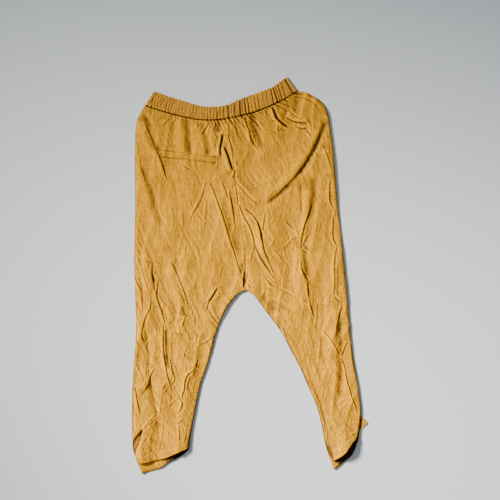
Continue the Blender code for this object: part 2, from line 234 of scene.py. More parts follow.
FOLDS = (
    # Hip and side of the left leg
    Fold(-254, 372, -200, 220, 2, 7, 20, 9),
    Fold(-256, 240, -216, 105, 0, 3, 12, 12),
    Fold(-250, 62, -232, -45, 0, 4, 14, 10),
    Fold(-230, -52, -252, -160, 0, 4, 16, 11),
    # Gathers that run on below the waistband
    Fold(-68, 345, -74, 275, 0, 5, 15, 7),
    Fold(-66, 308, -45, 240, 0, 5, 12, 8),
    Fold(-14, 378, 8, 308, 4, 4, 16, 9),
    Fold(50, 396, 85, 347, 0, 5, 16, 9),
    # Shelf across the right hip
    Fold(82, 380, 140, 360, -3, 5, 16, 11),
    # Deep fold from the right hip to the middle, and its short left arm
    Fold(172, 368, 34, 172, 22, 5.5, 42, 6),
    Fold(-32, 216, 24, 168, 0, 5, 14, 12),
    Fold(174, 305, 195, 232, 0, 3, 12, 10),
    # Thighs
    Fold(-98, 220, -18, 0, 4, 6, 22, 9),
    Fold(-12, 152, 46, 30, 2, 5, 13, 10),
    Fold(143, 214, 118, 72, 4, 7, 26, 9),
    Fold(118, 72, 145, -92, -4, 7, 22, 10),
    Fold(-188, 32, -148, -88, 0, 4, 18, 10),
    Fold(-150, -90, -162, -140, 0, 4, 16, 10),
    # Lower legs
    Fold(-209, -115, -188, -282, 4, 6, 20, 11),
    Fold(-223, -212, -254, -274, 0, 5, 16, 10),
    Fold(-130, -192, -160, -294, 4, 5, 16, 9),
    Fold(206, -64, 208, -194, -6, 6, 16, 11),
    Fold(208, -196, 248, -318, 2, 5, 18, 10),
    Fold(134, -245, 188, -420, 4, 4, 10, 12),
    Fold(-250, -366, -216, -328, 0, 3, 12, 10),
)


class Mouth(NamedTuple):
    """An open hem: the middle of its lip, where its lift ends up the leg, how high the
    lip stands and how far it spreads to each side."""

    lip_x: float
    lip_y: float
    up_x: float
    up_y: float
    height: float
    spread: float


MOUTHS = (
    Mouth(-178, -424, -150, -320, 6, 30),
    Mouth(230, -412, 186, -280, 13, 32),
)


def smooth(stations, values, at):
    """A curve through the table's values: cubic pieces whose slopes at each station
    are the average of the straight slopes on its two sides."""
    stations = np.array(stations, float)
    values = np.array(values, float)
    slopes = np.gradient(values, stations)
    last = len(stations) - 2
    cell = np.clip(np.searchsorted(stations, at, side="right") - 1, 0, last)
    width = stations[cell + 1] - stations[cell]
    share = (at - stations[cell]) / width
    rest = 1 - share
    return (
        values[cell] * (1 + 2 * share) * rest**2
        + values[cell + 1] * share**2 * (3 - 2 * share)
        + slopes[cell] * width * share * rest**2
        - slopes[cell + 1] * width * share**2 * rest
    )


def along_table(table, key, names, at):
    """Smooth curves through the named columns of a table, over its key column."""
    stations = [getattr(row, key) for row in table]
    return [smooth(stations, [getattr(row, name) for row in table], at) for name in names]


def ease(value):
    """A soft step from 0 to 1 as the value goes from 0 to 1."""
    value = np.clip(value, 0, 1)
    return value * value * (3 - 2 * value)


def fold_height(fold, x, y):
    """How far one fold raises the cloth: a bell across it, lower towards its ends."""
    run_x = fold.end_x - fold.start_x
    run_y = fold.end_y - fold.start_y
    length = np.hypot(run_x, run_y)
    side = 1 if run_y < run_x else -1
    across_x = side * -run_y / length
    across_y = side * run_x / length
    if across_x - across_y < 0:
        across_x, across_y = -across_x, -across_y
    from_x = x - fold.start_x
    from_y = y - fold.start_y
    along = (from_x * run_x + from_y * run_y) / length**2
    inside = np.clip(along, 0, 1)
    off = from_x * across_x + from_y * across_y - fold.bow * 4 * inside * (1 - inside)
    spread = np.where(off < 0, fold.slope_up_left, fold.slope_low_right)
    past_end = (along - inside) * length
    end_fade = ease(inside * 5) * ease((1 - inside) * 5)
    return fold.height * end_fade * np.exp(-((off / spread) ** 2) - (past_end / 10) ** 2)


def mouth_lift(x, y):
    """How far each hem stands open: most at the hem, and gone further up the leg."""
    lift = np.zeros(np.broadcast(x, y).shape)
    for mouth in MOUTHS:
        along_x = mouth.up_x - mouth.lip_x
        along_y = mouth.up_y - mouth.lip_y
        length = np.hypot(along_x, along_y)
        from_x = x - mouth.lip_x
        from_y = y - mouth.lip_y
        up = (from_x * along_x + from_y * along_y) / length**2
        off = (from_x * along_y - from_y * along_x) / length
        bell = np.exp(-((off / (mouth.spread * (1 + 0.5 * np.clip(up, 0, 1)))) ** 2))
        lift = lift + mouth.height * bell * (1 - ease(up)) * ease((up + 0.35) / 0.3)
    return lift


def cloth_height(x, y):
    """Top of the back's cloth over the surface, with every fold and both open hems."""
    folds = sum(fold_height(fold, x, y) for fold in FOLDS)
    return CLOTH_TOP + FOLD_SHARE * folds + mouth_lift(x, y)


def side_edge(right, level):
    """The side seam of one leg, from the waist to the hem."""
    body_names = ("right_x", "right_y") if right else ("left_x", "left_y")
    leg = RIGHT_LEG if right else LEFT_LEG
    body_x, body_y = along_table(BODY, "level", body_names, level)
    leg_x, leg_y = along_table(leg, "level", ("side_x", "side_y"), level)
    return np.where(level < CROTCH, body_x, leg_x), np.where(level < CROTCH, body_y, leg_y)


def inner_edge(right, level):
    """The centre seam down to the crotch, then the inseam of one leg."""
    leg = RIGHT_LEG if right else LEFT_LEG
    body_x, body_y = along_table(BODY, "level", ("centre_x", "centre_y"), level)
    leg_x, leg_y = along_table(leg, "level", ("inseam_x", "inseam_y"), level)
    return np.where(level < CROTCH, body_x, leg_x), np.where(level < CROTCH, body_y, leg_y)


def panel_plan(right, front, level, share):
    """Where a panel's points lie, seen from above. A row is the straight line from
    the side seam to the inner seam, plus the curve of the waist seam near the top
    and the curve of the hem near the bottom."""
    side_x, side_y = side_edge(right, level)
    seam_x, seam_y = inner_edge(right, level)
    if front and right:
        flap = np.clip(1 - np.abs(level - FLAP_LEVEL) / FLAP_LENGTH, 0, 1)
        side_x = side_x + FLAP_REACH * flap
    x = side_x + share * (seam_x - side_x)
    y = side_y + share * (seam_y - side_y)
    ends = BODY[0]
    waist_share = 1 - share * (1 - WAIST_CENTRE) if right else share * WAIST_CENTRE
    waist_x, waist_y = along_table(WAIST, "along", ("seam_x", "seam_y"), waist_share)
    top_x = ends.right_x if right else ends.left_x
    top_y = ends.right_y if right else ends.left_y
    near_waist = 1 - ease(level / WAIST_FADE)
    x = x + near_waist * (waist_x - top_x - share * (ends.centre_x - top_x))
    y = y + near_waist * (waist_y - top_y - share * (ends.centre_y - top_y))
    foot = (RIGHT_LEG if right else LEFT_LEG)[-1]
    run_x = foot.inseam_x - foot.side_x
    run_y = foot.inseam_y - foot.side_y
    run = np.hypot(run_x, run_y)
    turn = -1 if right else 1
    hems = {
        (False, False): LEFT_BACK_HEM,
        (False, True): LEFT_FRONT_HEM,
        (True, False): RIGHT_BACK_HEM,
        (True, True): RIGHT_FRONT_HEM,
    }
    reach, slide = along_table(hems[right, front], "across", ("reach", "slide"), share)
    near_hem = np.clip((level - HEM + HEM_FADE) / HEM_FADE, 0, 1) ** 2
    x = x + near_hem * (turn * reach * run_y + slide * run_x) / run
    y = y + near_hem * (-turn * reach * run_x + slide * run_y) / run
    return x, y


class Crease(NamedTuple):
    """A crease: its kind, how strong it is, and its path in pixels of the photograph."""

    kind: str
    strength: float
    path: tuple


class CreaseKind(NamedTuple):
    """The section across a crease, in millimetres: a lip that rises over its spread
    on the upper left and drops over twice the width, and a valley at its foot. Shade
    is the painted shade of the valley; below nought it is a painted highlight."""

    lip: float
    spread: float
    depth: float
    width: float
    shade: float


CREASE_KINDS = {
    "slit": CreaseKind(1.3, 6.0, 2.8, 3.2, 1.9),
    "sharp": CreaseKind(1.9, 8.0, 1.4, 1.8, 0.58),
    "plain": CreaseKind(1.3, 7.0, 0.9, 1.7, 0.38),
    "line": CreaseKind(0.0, 6.0, 0.9, 1.7, 0.50),
    "faint": CreaseKind(0.8, 8.0, 0.5, 2.0, 0.15),
    "broad": CreaseKind(1.3, 14.0, 0.8, 5.5, 0.18),
    "hollow": CreaseKind(0.0, 6.0, 2.2, 11.0, 0.13),
    "fold": CreaseKind(1.7, 20.0, 0.8, 6.0, 0.13),
    "deep": CreaseKind(2.2, 12.0, 2.2, 8.5, 0.30),
    "trough": CreaseKind(0.0, 6.0, 1.3, 5.5, 0.20),
    # The ridge kind gets a painted highlight in place of painted shade
    "ridge": CreaseKind(2.2, 5.0, 0.0, 4.4, -0.50),
    "crumple": CreaseKind(0.55, 6.0, 0.42, 1.7, 0.085),
}

CREASES = (
    # Left hip and seat
    Crease("hollow", 1.8, ((141, 114), (146, 124), (148, 136), (154, 148), (159, 156))),
    Crease("plain", 0.8, ((144, 121), (148, 130), (152, 140), (156, 149))),
    Crease("sharp", 1.1, ((156, 150), (160, 158), (163, 167), (167, 181))),
    Crease("hollow", 1.1, ((140, 165), (146, 181), (151, 194), (154, 209), (158, 221), (162, 230))),
    Crease("faint", 1, ((139, 158), (142, 170), (145, 180))),
    Crease("faint", 1, ((158, 205), (162, 213), (166, 221))),
    Crease("faint", 0.8, ((171, 205), (173, 213), (174, 221))),
    Crease("plain", 0.9, ((170, 117), (166, 122), (161, 128))),
    Crease("plain", 1.1, ((177, 118), (173, 122), (171, 125))),
    Crease("hollow", 1.4, ((185, 114), (186, 128), (187, 141), (188, 158))),
    Crease("hollow", 1.5, ((200, 120), (203, 133), (206, 146), (208, 160))),
    Crease("hollow", 1.3, ((217, 116), (217, 134), (216, 154))),
    Crease("sharp", 0.7, ((196.5, 120), (197.3, 124), (197.5, 130))),
    Crease("sharp", 0.8, ((209, 122), (205, 129), (201, 136))),
    Crease("plain", 0.8, ((209, 128), (208, 133), (207, 138))),
    Crease("plain", 1, ((215, 120), (215, 127), (212, 132))),
    Crease("faint", 1.2, ((212, 132), (215, 135), (218, 139))),
    Crease("plain", 1, ((229, 120), (229, 128), (230, 139))),
    Crease("slit", 1, ((222.8, 132), (221.5, 140), (220, 150), (220.5, 158))),
    Crease("slit", 1.1, ((223, 145), (227, 154), (230, 163), (233, 172))),
    Crease("sharp", 1.1, ((235.5, 168), (234.5, 174), (231, 180))),
    Crease("plain", 1, ((234, 161), (237, 164), (240, 168))),
    Crease("plain", 0.9, ((181, 163), (186, 167), (192, 170))),
    Crease("plain", 0.8, ((219, 160), (218, 165), (215, 169))),
    Crease("faint", 1, ((136.5, 140), (138, 148), (136.5, 158))),
    # Right hip and seat
    Crease("plain", 1, ((234, 120), (236, 130), (239, 141))),
    Crease("plain", 0.9, ((227.5, 121), (229, 138), (232, 148), (234, 162))),
    Crease("plain", 1, ((241, 118), (244, 127), (247, 132))),
    Crease("sharp", 1.3, ((245, 115), (246, 123), (249, 131), (251, 139), (255, 146), (258, 150))),
    Crease("hollow", 1.4, ((250, 110), (253, 124), (257, 138), (261, 153))),
    Crease("plain", 0.9, ((250, 115), (250.5, 118), (251, 122))),
    Crease("plain", 0.9, ((255, 120), (256.5, 124), (257.5, 128))),
    Crease("faint", 1.2, ((260, 121), (262, 125), (265, 129))),
    Crease("sharp", 0.8, ((264, 108), (266, 113), (268, 118))),
    Crease("slit", 1.6, ((271.5, 106), (274, 112), (277, 119), (280, 122), (284, 125), (288, 128))),
    Crease("sharp", 1, ((280, 122), (278, 128), (279, 134))),
    Crease("sharp", 0.9, ((271, 119), (275, 121.5), (279, 123))),
    Crease("plain", 1, ((283, 97), (287, 100.5), (291, 103))),
    Crease("plain", 0.9, ((286, 106), (292, 113), (297, 117), (304, 120))),
    Crease("sharp", 1.1, ((285, 116), (292, 120.5), (301, 122.5), (309, 122.5))),
    Crease("sharp", 0.9, ((294, 125), (301, 128.3), (308, 127.5))),
    Crease("sharp", 0.8, ((306, 120), (310, 123), (311, 128))),
    Crease("sharp", 0.9, ((304, 130), (309, 134), (312, 140))),
    Crease("plain", 0.6, ((285, 109), (285, 113), (284.5, 116))),
    Crease("plain", 0.8, ((293, 97), (301, 97), (309, 100), (316, 105), (321, 114))),
    Crease("faint", 1, ((303, 92), (310, 96), (317, 102))),
    # Deep fold from the right hip to the middle, with its short left arm
    Crease("hollow", 1.0, ((326, 116), (321, 130), (315, 144), (309, 155), (303, 165), (294, 177))),
    Crease("fold", 1, ((325, 119), (319, 136), (312, 151), (302, 167), (291, 180), (277, 194), (262, 206))),
    Crease("line", 0.6, ((311, 152), (304, 165), (296, 175), (286, 186), (279, 194), (276, 201))),
    Crease("line", 0.4, ((309, 153), (300, 164), (289, 177), (277, 189), (264, 201))),
    Crease("hollow", 0.8, ((292, 181), (281, 189), (272, 197), (264, 205))),
    Crease("sharp", 0.9, ((236, 182), (243, 190), (250, 198), (259, 205))),
    Crease("plain", 1.1, ((313, 149), (316, 154), (319, 160))),
    Crease("broad", 0.6, ((310, 158), (314, 170), (317, 182))),
    Crease("plain", 0.9, ((322, 143), (327, 155), (330, 165), (333, 177))),
    # Crotch
    Crease("slit", 1.2, ((244.6, 270), (244.2, 276), (243.8, 282), (243.6, 290))),
    Crease("sharp", 0.9, ((247, 270), (246.5, 276), (245, 284))),
    Crease("sharp", 0.9, ((252, 290), (249, 286), (246, 283))),
    Crease("hollow", 1.2, ((240, 258), (242, 268), (243, 278), (244, 287))),
    Crease("hollow", 1.4, ((259, 292), (266, 299), (274, 306), (282, 313))),
    # Thighs
    Crease("plain", 1.1, ((207, 179), (203, 192), (200, 201), (195, 210), (189, 221))),
    Crease(
        "sharp", 1,
        ((209, 181), (213, 190), (218, 203), (223, 217), (227, 230), (231, 243), (235, 255),
         (239, 268), (243, 277)),
    ),
    Crease("sharp", 0.8, ((221, 181), (224, 187), (227, 195), (228.5, 201))),
    Crease("sharp", 1.3, ((229, 189), (231, 200), (233, 212), (235, 226))),
    Crease("plain", 1, ((236, 184), (237, 194), (238, 204))),
    Crease("sharp", 1.3, ((238, 203), (241, 210), (244, 217), (250, 228), (253, 237), (254.5, 246))),
    Crease("plain", 1.1, ((254.5, 244), (252, 255), (251, 264))),
    Crease("plain", 1.3, ((256, 249), (260, 258), (265, 266), (270, 273), (276, 281))),
    Crease(
        "sharp", 1.4,
        ((243, 208), (250, 213), (256, 220), (260, 229), (262, 240), (264, 250), (269, 262), (275, 276)),
    ),
    Crease("slit", 0.7, ((257, 221), (260, 230), (262, 242))),
    Crease("sharp", 0.8, ((266, 210), (264, 220), (262.5, 233))),
    Crease("ridge", 1.3, ((242, 211), (249, 220), (255, 231), (259, 244), (265, 257), (272, 270))),
    Crease("plain", 0.9, ((277, 236), (274, 242), (269, 249))),
    Crease("plain", 0.9, ((273, 248), (278, 254), (284, 263))),
    Crease("plain", 0.9, ((284, 248), (286, 256), (289, 263))),
    Crease("faint", 1.1, ((295, 235), (290, 242), (283, 249))),
    Crease("plain", 1, ((285, 221), (290, 226), (295, 232))),
    Crease("trough", 1.0, ((299.5, 182), (300, 199), (301, 217))),
    Crease("plain", 0.8, ((244, 238), (245, 255), (245.5, 272))),
    Crease("sharp", 1, ((238, 274), (242, 278), (245, 284))),
    Crease("sharp", 1.1, ((265, 277), (269, 283), (276, 289))),
    Crease("plain", 0.9, ((277, 287), (284, 291), (290, 294), (298, 300))),
    Crease("broad", 0.7, ((266, 289), (271, 291), (272, 296))),
    Crease("broad", 0.8, ((268, 299), (276, 302), (284, 307), (290, 311), (293, 317))),
    Crease("faint", 1, ((207, 198), (205.5, 215), (204, 233))),
    Crease("faint", 0.8, ((183, 212), (183, 222), (182, 234))),
    Crease("faint", 0.8, ((187, 240), (186, 250), (184, 260))),
    Crease("faint", 0.8, ((198, 246), (199, 256), (200, 266))),
    Crease("faint", 1, ((226, 262), (222, 270), (220, 280))),
    Crease("faint", 0.8, ((213, 240), (211, 252), (213, 262))),
    Crease("broad", 0.5, ((270, 210), (269, 222), (268, 234))),
    # Long fold down the right leg and its side
    Crease("hollow", 1.1, ((312, 174), (312.5, 190), (311, 206), (306, 222))),
    Crease("sharp", 1.2, ((312, 203), (308, 216), (305, 224), (302.5, 234), (301, 243), (301, 252))),
    Crease("hollow", 1.2, ((304, 242), (304, 256), (305, 270), (308, 282))),
    Crease("sharp", 1.2, ((301, 260), (302.5, 271), (305, 276), (308, 282))),
    Crease("sharp", 1.3, ((307.3, 281), (308, 290), (309, 299))),
    Crease("sharp", 0.9, ((309, 297), (311, 307), (313, 314), (315, 320))),
    Crease("sharp", 0.9, ((310, 232), (306, 239), (301.5, 248))),
    Crease("plain", 1, ((301, 249), (306, 252), (310, 254))),
    Crease("broad", 0.6, ((301, 226), (298, 232), (299, 239))),
    Crease("plain", 0.8, ((319, 300), (317, 309), (317, 318), (315, 331))),
    Crease("broad", 0.4, ((328, 288), (329, 305), (331, 331))),
    Crease("sharp", 1, ((330, 178), (329.5, 190), (330, 200), (331.5, 205), (335, 210))),
    Crease("sharp", 1, ((334, 214), (333, 226), (333, 236), (334, 241), (338, 247))),
    Crease("sharp", 1, ((337, 245), (335, 255), (334.3, 268), (334.5, 282), (333.5, 297))),
    Crease("broad", 0.9, ((337, 258), (337, 278), (336.5, 297))),
    Crease("sharp", 0.9, ((333, 295), (337, 299), (341, 303))),
    Crease("sharp", 1.0, ((343, 303), (340, 312), (338, 321), (335.5, 332))),
    Crease("deep", 0.55, ((339, 318), (339.5, 332), (340, 346), (341, 358))),
    Crease("hollow", 0.9, ((335, 322), (339, 336), (340, 350))),
    Crease("plain", 1.2, ((321, 329), (326, 334), (331, 340), (336, 348), (341, 358))),
    Crease("sharp", 0.9, ((347.5, 341), (344.5, 348), (341, 358))),
    Crease(
        "sharp", 1,
        ((341, 357), (345, 368), (347, 380), (350, 390), (353, 400), (356, 407), (357.5, 416)),
    ),
    Crease("hollow", 1.4, ((340, 356), (340, 370), (339.5, 384), (339, 400))),
    Crease("sharp", 0.9, ((283, 324), (284, 331), (286, 336), (288, 341))),
    Crease(
        "trough", 1.2,
        ((308, 378), (313, 386), (316, 393), (319, 401), (321.5, 411), (324, 421), (326, 432),
         (328, 443), (333, 460)),
    ),
    Crease("broad", 0.7, ((313, 357), (316, 366), (318.5, 375), (321, 386))),
    Crease("plain", 0.8, ((325, 384), (323.5, 391), (322.5, 398))),
    Crease("faint", 1.2, ((337, 407), (341, 403), (346, 398))),
    Crease("faint", 1.2, ((342, 409), (346, 405), (351, 400))),
    Crease("faint", 1, ((346, 409), (349, 406), (353, 402))),
    Crease("sharp", 0.6, ((351, 435), (354, 433.5), (357, 432))),
    Crease("plain", 0.8, ((350, 437), (353, 434), (357, 434.5))),
    # Side of the left leg
    Crease("faint", 1.2, ((137, 240), (140, 245), (144, 252))),
    Crease("plain", 1, ((136, 253), (139, 261), (142, 270), (145, 280), (149, 291))),
    Crease("sharp", 0.9, ((134.5, 275), (137, 283), (141, 290), (142, 300), (143, 311))),
    Crease("plain", 1, ((144, 259), (149, 261.5), (153, 263))),
    Crease("sharp", 1, ((152, 262), (152, 272), (153, 281), (155, 291))),
    Crease(
        "sharp", 1.1,
        ((158, 277), (157.5, 286), (156.5, 296), (159, 304), (162, 313), (164.5, 322), (166, 330)),
    ),
    Crease("sharp", 0.9, ((151, 299), (150, 309), (146, 316), (143.5, 325), (142, 334), (144, 343))),
    Crease("plain", 1, ((154, 338), (148, 343), (145, 350))),
    Crease("plain", 0.8, ((135.5, 339), (138, 347), (138, 354), (136, 361))),
    Crease("plain", 1, ((136, 361), (139, 370), (142, 376), (144, 382))),
    Crease("faint", 1.2, ((147, 361), (146.5, 370), (146, 379))),
    Crease("sharp", 1, ((156, 367), (151, 375), (149, 383), (145, 390), (141.5, 395))),
    Crease("plain", 1, ((149, 379), (144, 386), (141.5, 394))),
    Crease("sharp", 1, ((134.5, 385), (136, 392), (137, 399), (139, 408), (141, 417))),
    # Middle of the left leg
    Crease("trough", 2.3, ((165.7, 326), (166, 340), (166.2, 355), (168, 371))),
    Crease(
        "sharp", 1,
        ((163.3, 321), (163.3, 338), (164, 354), (166, 367), (168.5, 379), (171.5, 388), (177, 399)),
    ),
    Crease("line", 0.7, ((168.5, 328), (168.7, 345), (168, 359), (170, 373))),
    Crease("sharp", 0.8, ((170, 357), (171, 365), (173, 372), (175, 379), (171.5, 386))),
    Crease("sharp", 0.8, ((171, 261), (176, 272), (180, 282), (184, 292), (187, 302), (189, 313))),
    Crease("sharp", 0.7, ((188.5, 313), (185.5, 317), (184, 322), (182.5, 327), (182, 332))),
    Crease("plain", 0.8, ((195.5, 312), (195, 320), (194, 328))),
    Crease("sharp", 0.7, ((197, 334), (196.5, 339), (195, 346))),
    Crease("plain", 0.9, ((188, 344), (185.5, 352), (183, 361))),
    Crease("faint", 1, ((188, 330), (190, 340), (189, 350))),
    Crease("faint", 1, ((155, 325), (157, 333), (156, 341))),
    Crease("plain", 1, ((168, 378), (165, 386), (162, 392))),
    Crease("plain", 0.9, ((169, 387), (166, 391), (163, 394))),
    Crease("plain", 1, ((171, 386), (171, 397), (170, 408))),
    Crease("plain", 0.9, ((177, 398), (173, 403), (169, 408))),
    Crease("faint", 1, ((163, 392), (161, 405), (160, 416))),
    Crease("plain", 0.7, ((164.5, 414), (163.5, 425), (162.5, 436), (160, 446), (157, 456))),
    # Inside of the left leg
    Crease("sharp", 0.9, ((220, 284), (214, 293), (210, 299), (204, 305))),
    Crease("sharp", 1, ((218, 287), (213, 296), (209.5, 301), (207.5, 306), (206, 312))),
    Crease("plain", 1.1, ((207.5, 309), (212, 317), (216, 322), (220, 325))),
    Crease("plain", 1.1, ((214, 335), (210, 339), (206, 342), (201, 344.5))),
    Crease("broad", 0.8, ((212, 300), (216, 300), (222, 293))),
    Crease("plain", 1, ((199, 356), (197, 363), (195, 370))),
    Crease("trough", 1.6, ((193, 373), (189, 382), (186.5, 393))),
    Crease("sharp", 1.2, ((196, 369), (188, 375), (185, 383), (184.5, 390), (182.5, 396), (183, 401))),
    Crease("line", 0.9, ((196, 369), (192.5, 379), (190, 388), (187, 397))),
    Crease("sharp", 1.2, ((183, 399), (182, 406), (180.5, 410), (177.5, 414))),
    Crease("sharp", 1, ((184.5, 419), (180.5, 421.5), (177.5, 424))),
    Crease("plain", 1, ((178, 423), (179.5, 430), (180, 437), (179, 443))),
    Crease("plain", 0.9, ((187, 426), (186, 436), (183.5, 446))),
    # Left hem and slit
    Crease("sharp", 0.8, ((143, 430), (147, 425), (150, 421), (157, 414))),
    Crease("plain", 1.1, ((149, 428), (152, 422), (157, 417))),
    Crease("plain", 1, ((148, 434), (151, 428), (154, 423))),
    Crease("plain", 0.9, ((141, 446), (145, 440), (149, 434))),
    Crease("faint", 1.2, ((151, 430), (151, 441), (151, 453))),
    Crease("broad", 0.6, ((143, 435), (142.5, 445), (143, 454))),
    Crease("line", 1.4, ((141.5, 436), (140, 442), (136.5, 448), (135, 455), (136, 461), (139, 464))),
    Crease("line", 1.0, ((143, 436), (142, 440), (141.5, 445))),
)


def on_the_cloth(pixels):
    """Points of the photograph in the garment's millimetres."""
    spots = np.array(pixels, float)
    right = (spots[:, 0] - PHOTO_MIDDLE_X) * PHOTO_STEP
    up = (PHOTO_MIDDLE_Y - spots[:, 1]) * PHOTO_STEP
    return np.stack([right, up], 1)


def path_through(points, step):
    """A smooth line through a few points, as points one step apart."""
    corners = np.array(points, float)
    gone = np.concatenate([[0], np.cumsum(np.hypot(*np.diff(corners, axis=0).T))])
    at = np.linspace(0, gone[-1], max(3, int(gone[-1] / step) + 1))
    return np.stack([smooth(gone, corners[:, 0], at), smooth(gone, corners[:, 1], at)], 1)


def beside_path(x, y, path):
    """For each point, how far it lies off a path, positive on the lower right side,
    and what share of the path it has passed."""
    start = path[:-1]
    run = np.diff(path, axis=0)
    length = np.hypot(run[:, 0], run[:, 1])
    whole = path[-1] - path[0]
    side = 1 if whole[1] < -whole[0] else -1
    from_x = x[:, None] - start[:, 0]
    from_y = y[:, None] - start[:, 1]
    share = np.clip((from_x * run[:, 0] + from_y * run[:, 1]) / length**2, 0, 1)
    off = np.hypot(from_x - share * run[:, 0], from_y - share * run[:, 1])
    near = np.argmin(off, axis=1)
    every = np.arange(len(x))
    turn = run[near, 0] * from_y[every, near] - run[near, 1] * from_x[every, near]
    passed = np.concatenate([[0], np.cumsum(length)])
    along = (passed[near] + share[every, near] * length[near]) / passed[-1]
    return side * np.sign(turn) * off[every, near], along, passed[-1]


def add_crease(height, shade, x, y, kind_name, strength, corners):
    """Raises a crease's lip and lowers its valley, in place, and paints shade along the
    valley and a highlight on the lip. The lip swells towards the middle of the crease,
    and a short crease has a low one."""
    kind = CREASE_KINDS[kind_name]
    path = path_through(corners, 4.0)
    reach = 2.6 * kind.spread + 2 * kind.width
    low = path.min(axis=0) - reach
    high = path.max(axis=0) + reach
    here = np.nonzero((x > low[0]) & (x < high[0]) & (y > low[1]) & (y < high[1]))[0]
    if not len(here):
        return
    off, along, length = beside_path(x[here], y[here], path)
    fade = min(0.5 * length, 10.0 + kind.width)
    ends = ease(along * length / fade) * ease((1 - along) * length / fade)
    lens = np.sin(np.pi * along) ** 1.3 * min(1.0, 0.35 + length / 110)
    spread = kind.spread * (0.3 + 0.7 * lens)
    rise = np.exp(-(((off + kind.width) / spread) ** 2))
    fall = 0.5 + 0.5 * np.cos(np.pi * np.clip((off + kind.width) / (2 * kind.width), 0, 1))
    lip = kind.lip * lens * np.where(off < -kind.width, rise, fall)
    valley = ends * np.exp(-(((off - 0.35 * kind.width) / (0.75 * kind.width)) ** 2))
    height[here] += strength * (lip - kind.depth * valley)
    # Painted shade along the valley, and a painted highlight on the lip beside it
    dark = ends * np.exp(-((off / (0.7 * kind.width)) ** 2))
    pale = ends * np.exp(-(((off + 1.7 * kind.width) / (0.9 * kind.width)) ** 2))
    shade[here] += strength * kind.shade * (dark - PAINTED_HIGHLIGHT_SHARE * pale)


def wander(at, seed, cell):
    """A smooth random line: seeded values one cell apart, eased from one to the next."""
    values = np.random.default_rng(seed).uniform(-1, 1, 4096)
    place = np.asarray(at) / cell + 1024
    first = np.floor(place).astype(int)
    share = ease(place - first)
    return values[first % 4096] * (1 - share) + values[(first + 1) % 4096] * share


def mottle(x, y, seed, cell_x, cell_y):
    """A smooth random field: seeded values on a lattice, eased across each cell."""
    values = np.random.default_rng(seed).uniform(-1, 1, (256, 256))
    place_x = x / cell_x + 64
    place_y = y / cell_y + 64
    first_x = np.floor(place_x).astype(int)
    first_y = np.floor(place_y).astype(int)
    share_x = ease(place_x - first_x)
    share_y = ease(place_y - first_y)
    rows = (first_x % 256, (first_x + 1) % 256)
    columns = (first_y % 256, (first_y + 1) % 256)
    low = values[rows[0], columns[0]] * (1 - share_x) + values[rows[1], columns[0]] * share_x
    high = values[rows[0], columns[1]] * (1 - share_x) + values[rows[1], columns[1]] * share_x
    return low * (1 - share_y) + high * share_y


def crumples(count, seed):
    """Short seeded creases that run mostly down the legs, as in crushed linen."""
    draw = np.random.default_rng(seed)
    made = []
    for _ in range(count):
        x = draw.uniform(-275, 265)
        y = draw.uniform(-460, 425)
        heading = np.radians(draw.normal(-90, 26))
        length = draw.uniform(12, 48)
        bend = draw.normal(0, 0.14) * length
        step_x = np.cos(heading) * length
        step_y = np.sin(heading) * length
        middle = (x + step_x / 2 - step_y / length * bend, y + step_y / 2 + step_x / length * bend)
        path = ((x, y), middle, (x + step_x, y + step_y))
        strength = draw.uniform(0.4, 1.3) * (0.5 + 0.5 * ease((80 - y) / 220))
        made.append(("crumple", strength, np.array(path)))
    return made


def facets(x, y):
    """Flat planes of crushed cloth that meet along ridges and valleys, mostly down the
    legs: the lines where stretched random fields pass through nought. They are
    deepest low on the legs."""
    bent_x = x + 11 * mottle(x, y, 6, 60, 80) + 0.12 * y
    bent_y = y + 14 * mottle(x, y, 7, 50, 90)
    valleys = np.abs(mottle(bent_x, bent_y, 8, 30, 150))
    ridges = np.abs(mottle(bent_x - 0.30 * bent_y, bent_y, 9, 24, 95))
    small = np.abs(mottle(bent_x + 0.35 * bent_y, bent_y, 10, 12, 45))
    depth = 0.62 + 0.55 * ease((150 - y) / 300)
    return depth * (4.2 * valleys - 3.0 * ridges + 1.2 * small)


def creases_at(x, y):
    """How far the creases, the crumples and the cloth's mottled fall lift each point,
    and the painted shade of the creases there, with a painted highlight on their lips."""
    shape = x.shape
    flat_x = x.ravel()
    flat_y = y.ravel()
    height = np.zeros(len(flat_x))
    shade = np.zeros(len(flat_x))
    for crease in CREASES:
        path = on_the_cloth(crease.path)
        add_crease(height, shade, flat_x, flat_y, crease.kind, crease.strength, path)
    for kind_name, strength, path in crumples(760, 11):
        add_crease(height, shade, flat_x, flat_y, kind_name, strength, path)
    height += facets(flat_x, flat_y) + 3.5 * mottle(flat_x, flat_y, 12, 50, 110)
    height += 0.30 * mottle(flat_x, flat_y, 4, 9, 19)
    height += 0.09 * mottle(flat_x, flat_y, 5, 4.2, 7.5)
    return height.reshape(shape), shade.reshape(shape)


class Gather(NamedTuple):
    """A valley between two gathers of the casing: where it meets the casing's top edge
    and its seam, as pixels across the photograph, and how deep and wide it is in
    millimetres."""

    at_top: float
    at_seam: float
    depth: float
    width: float


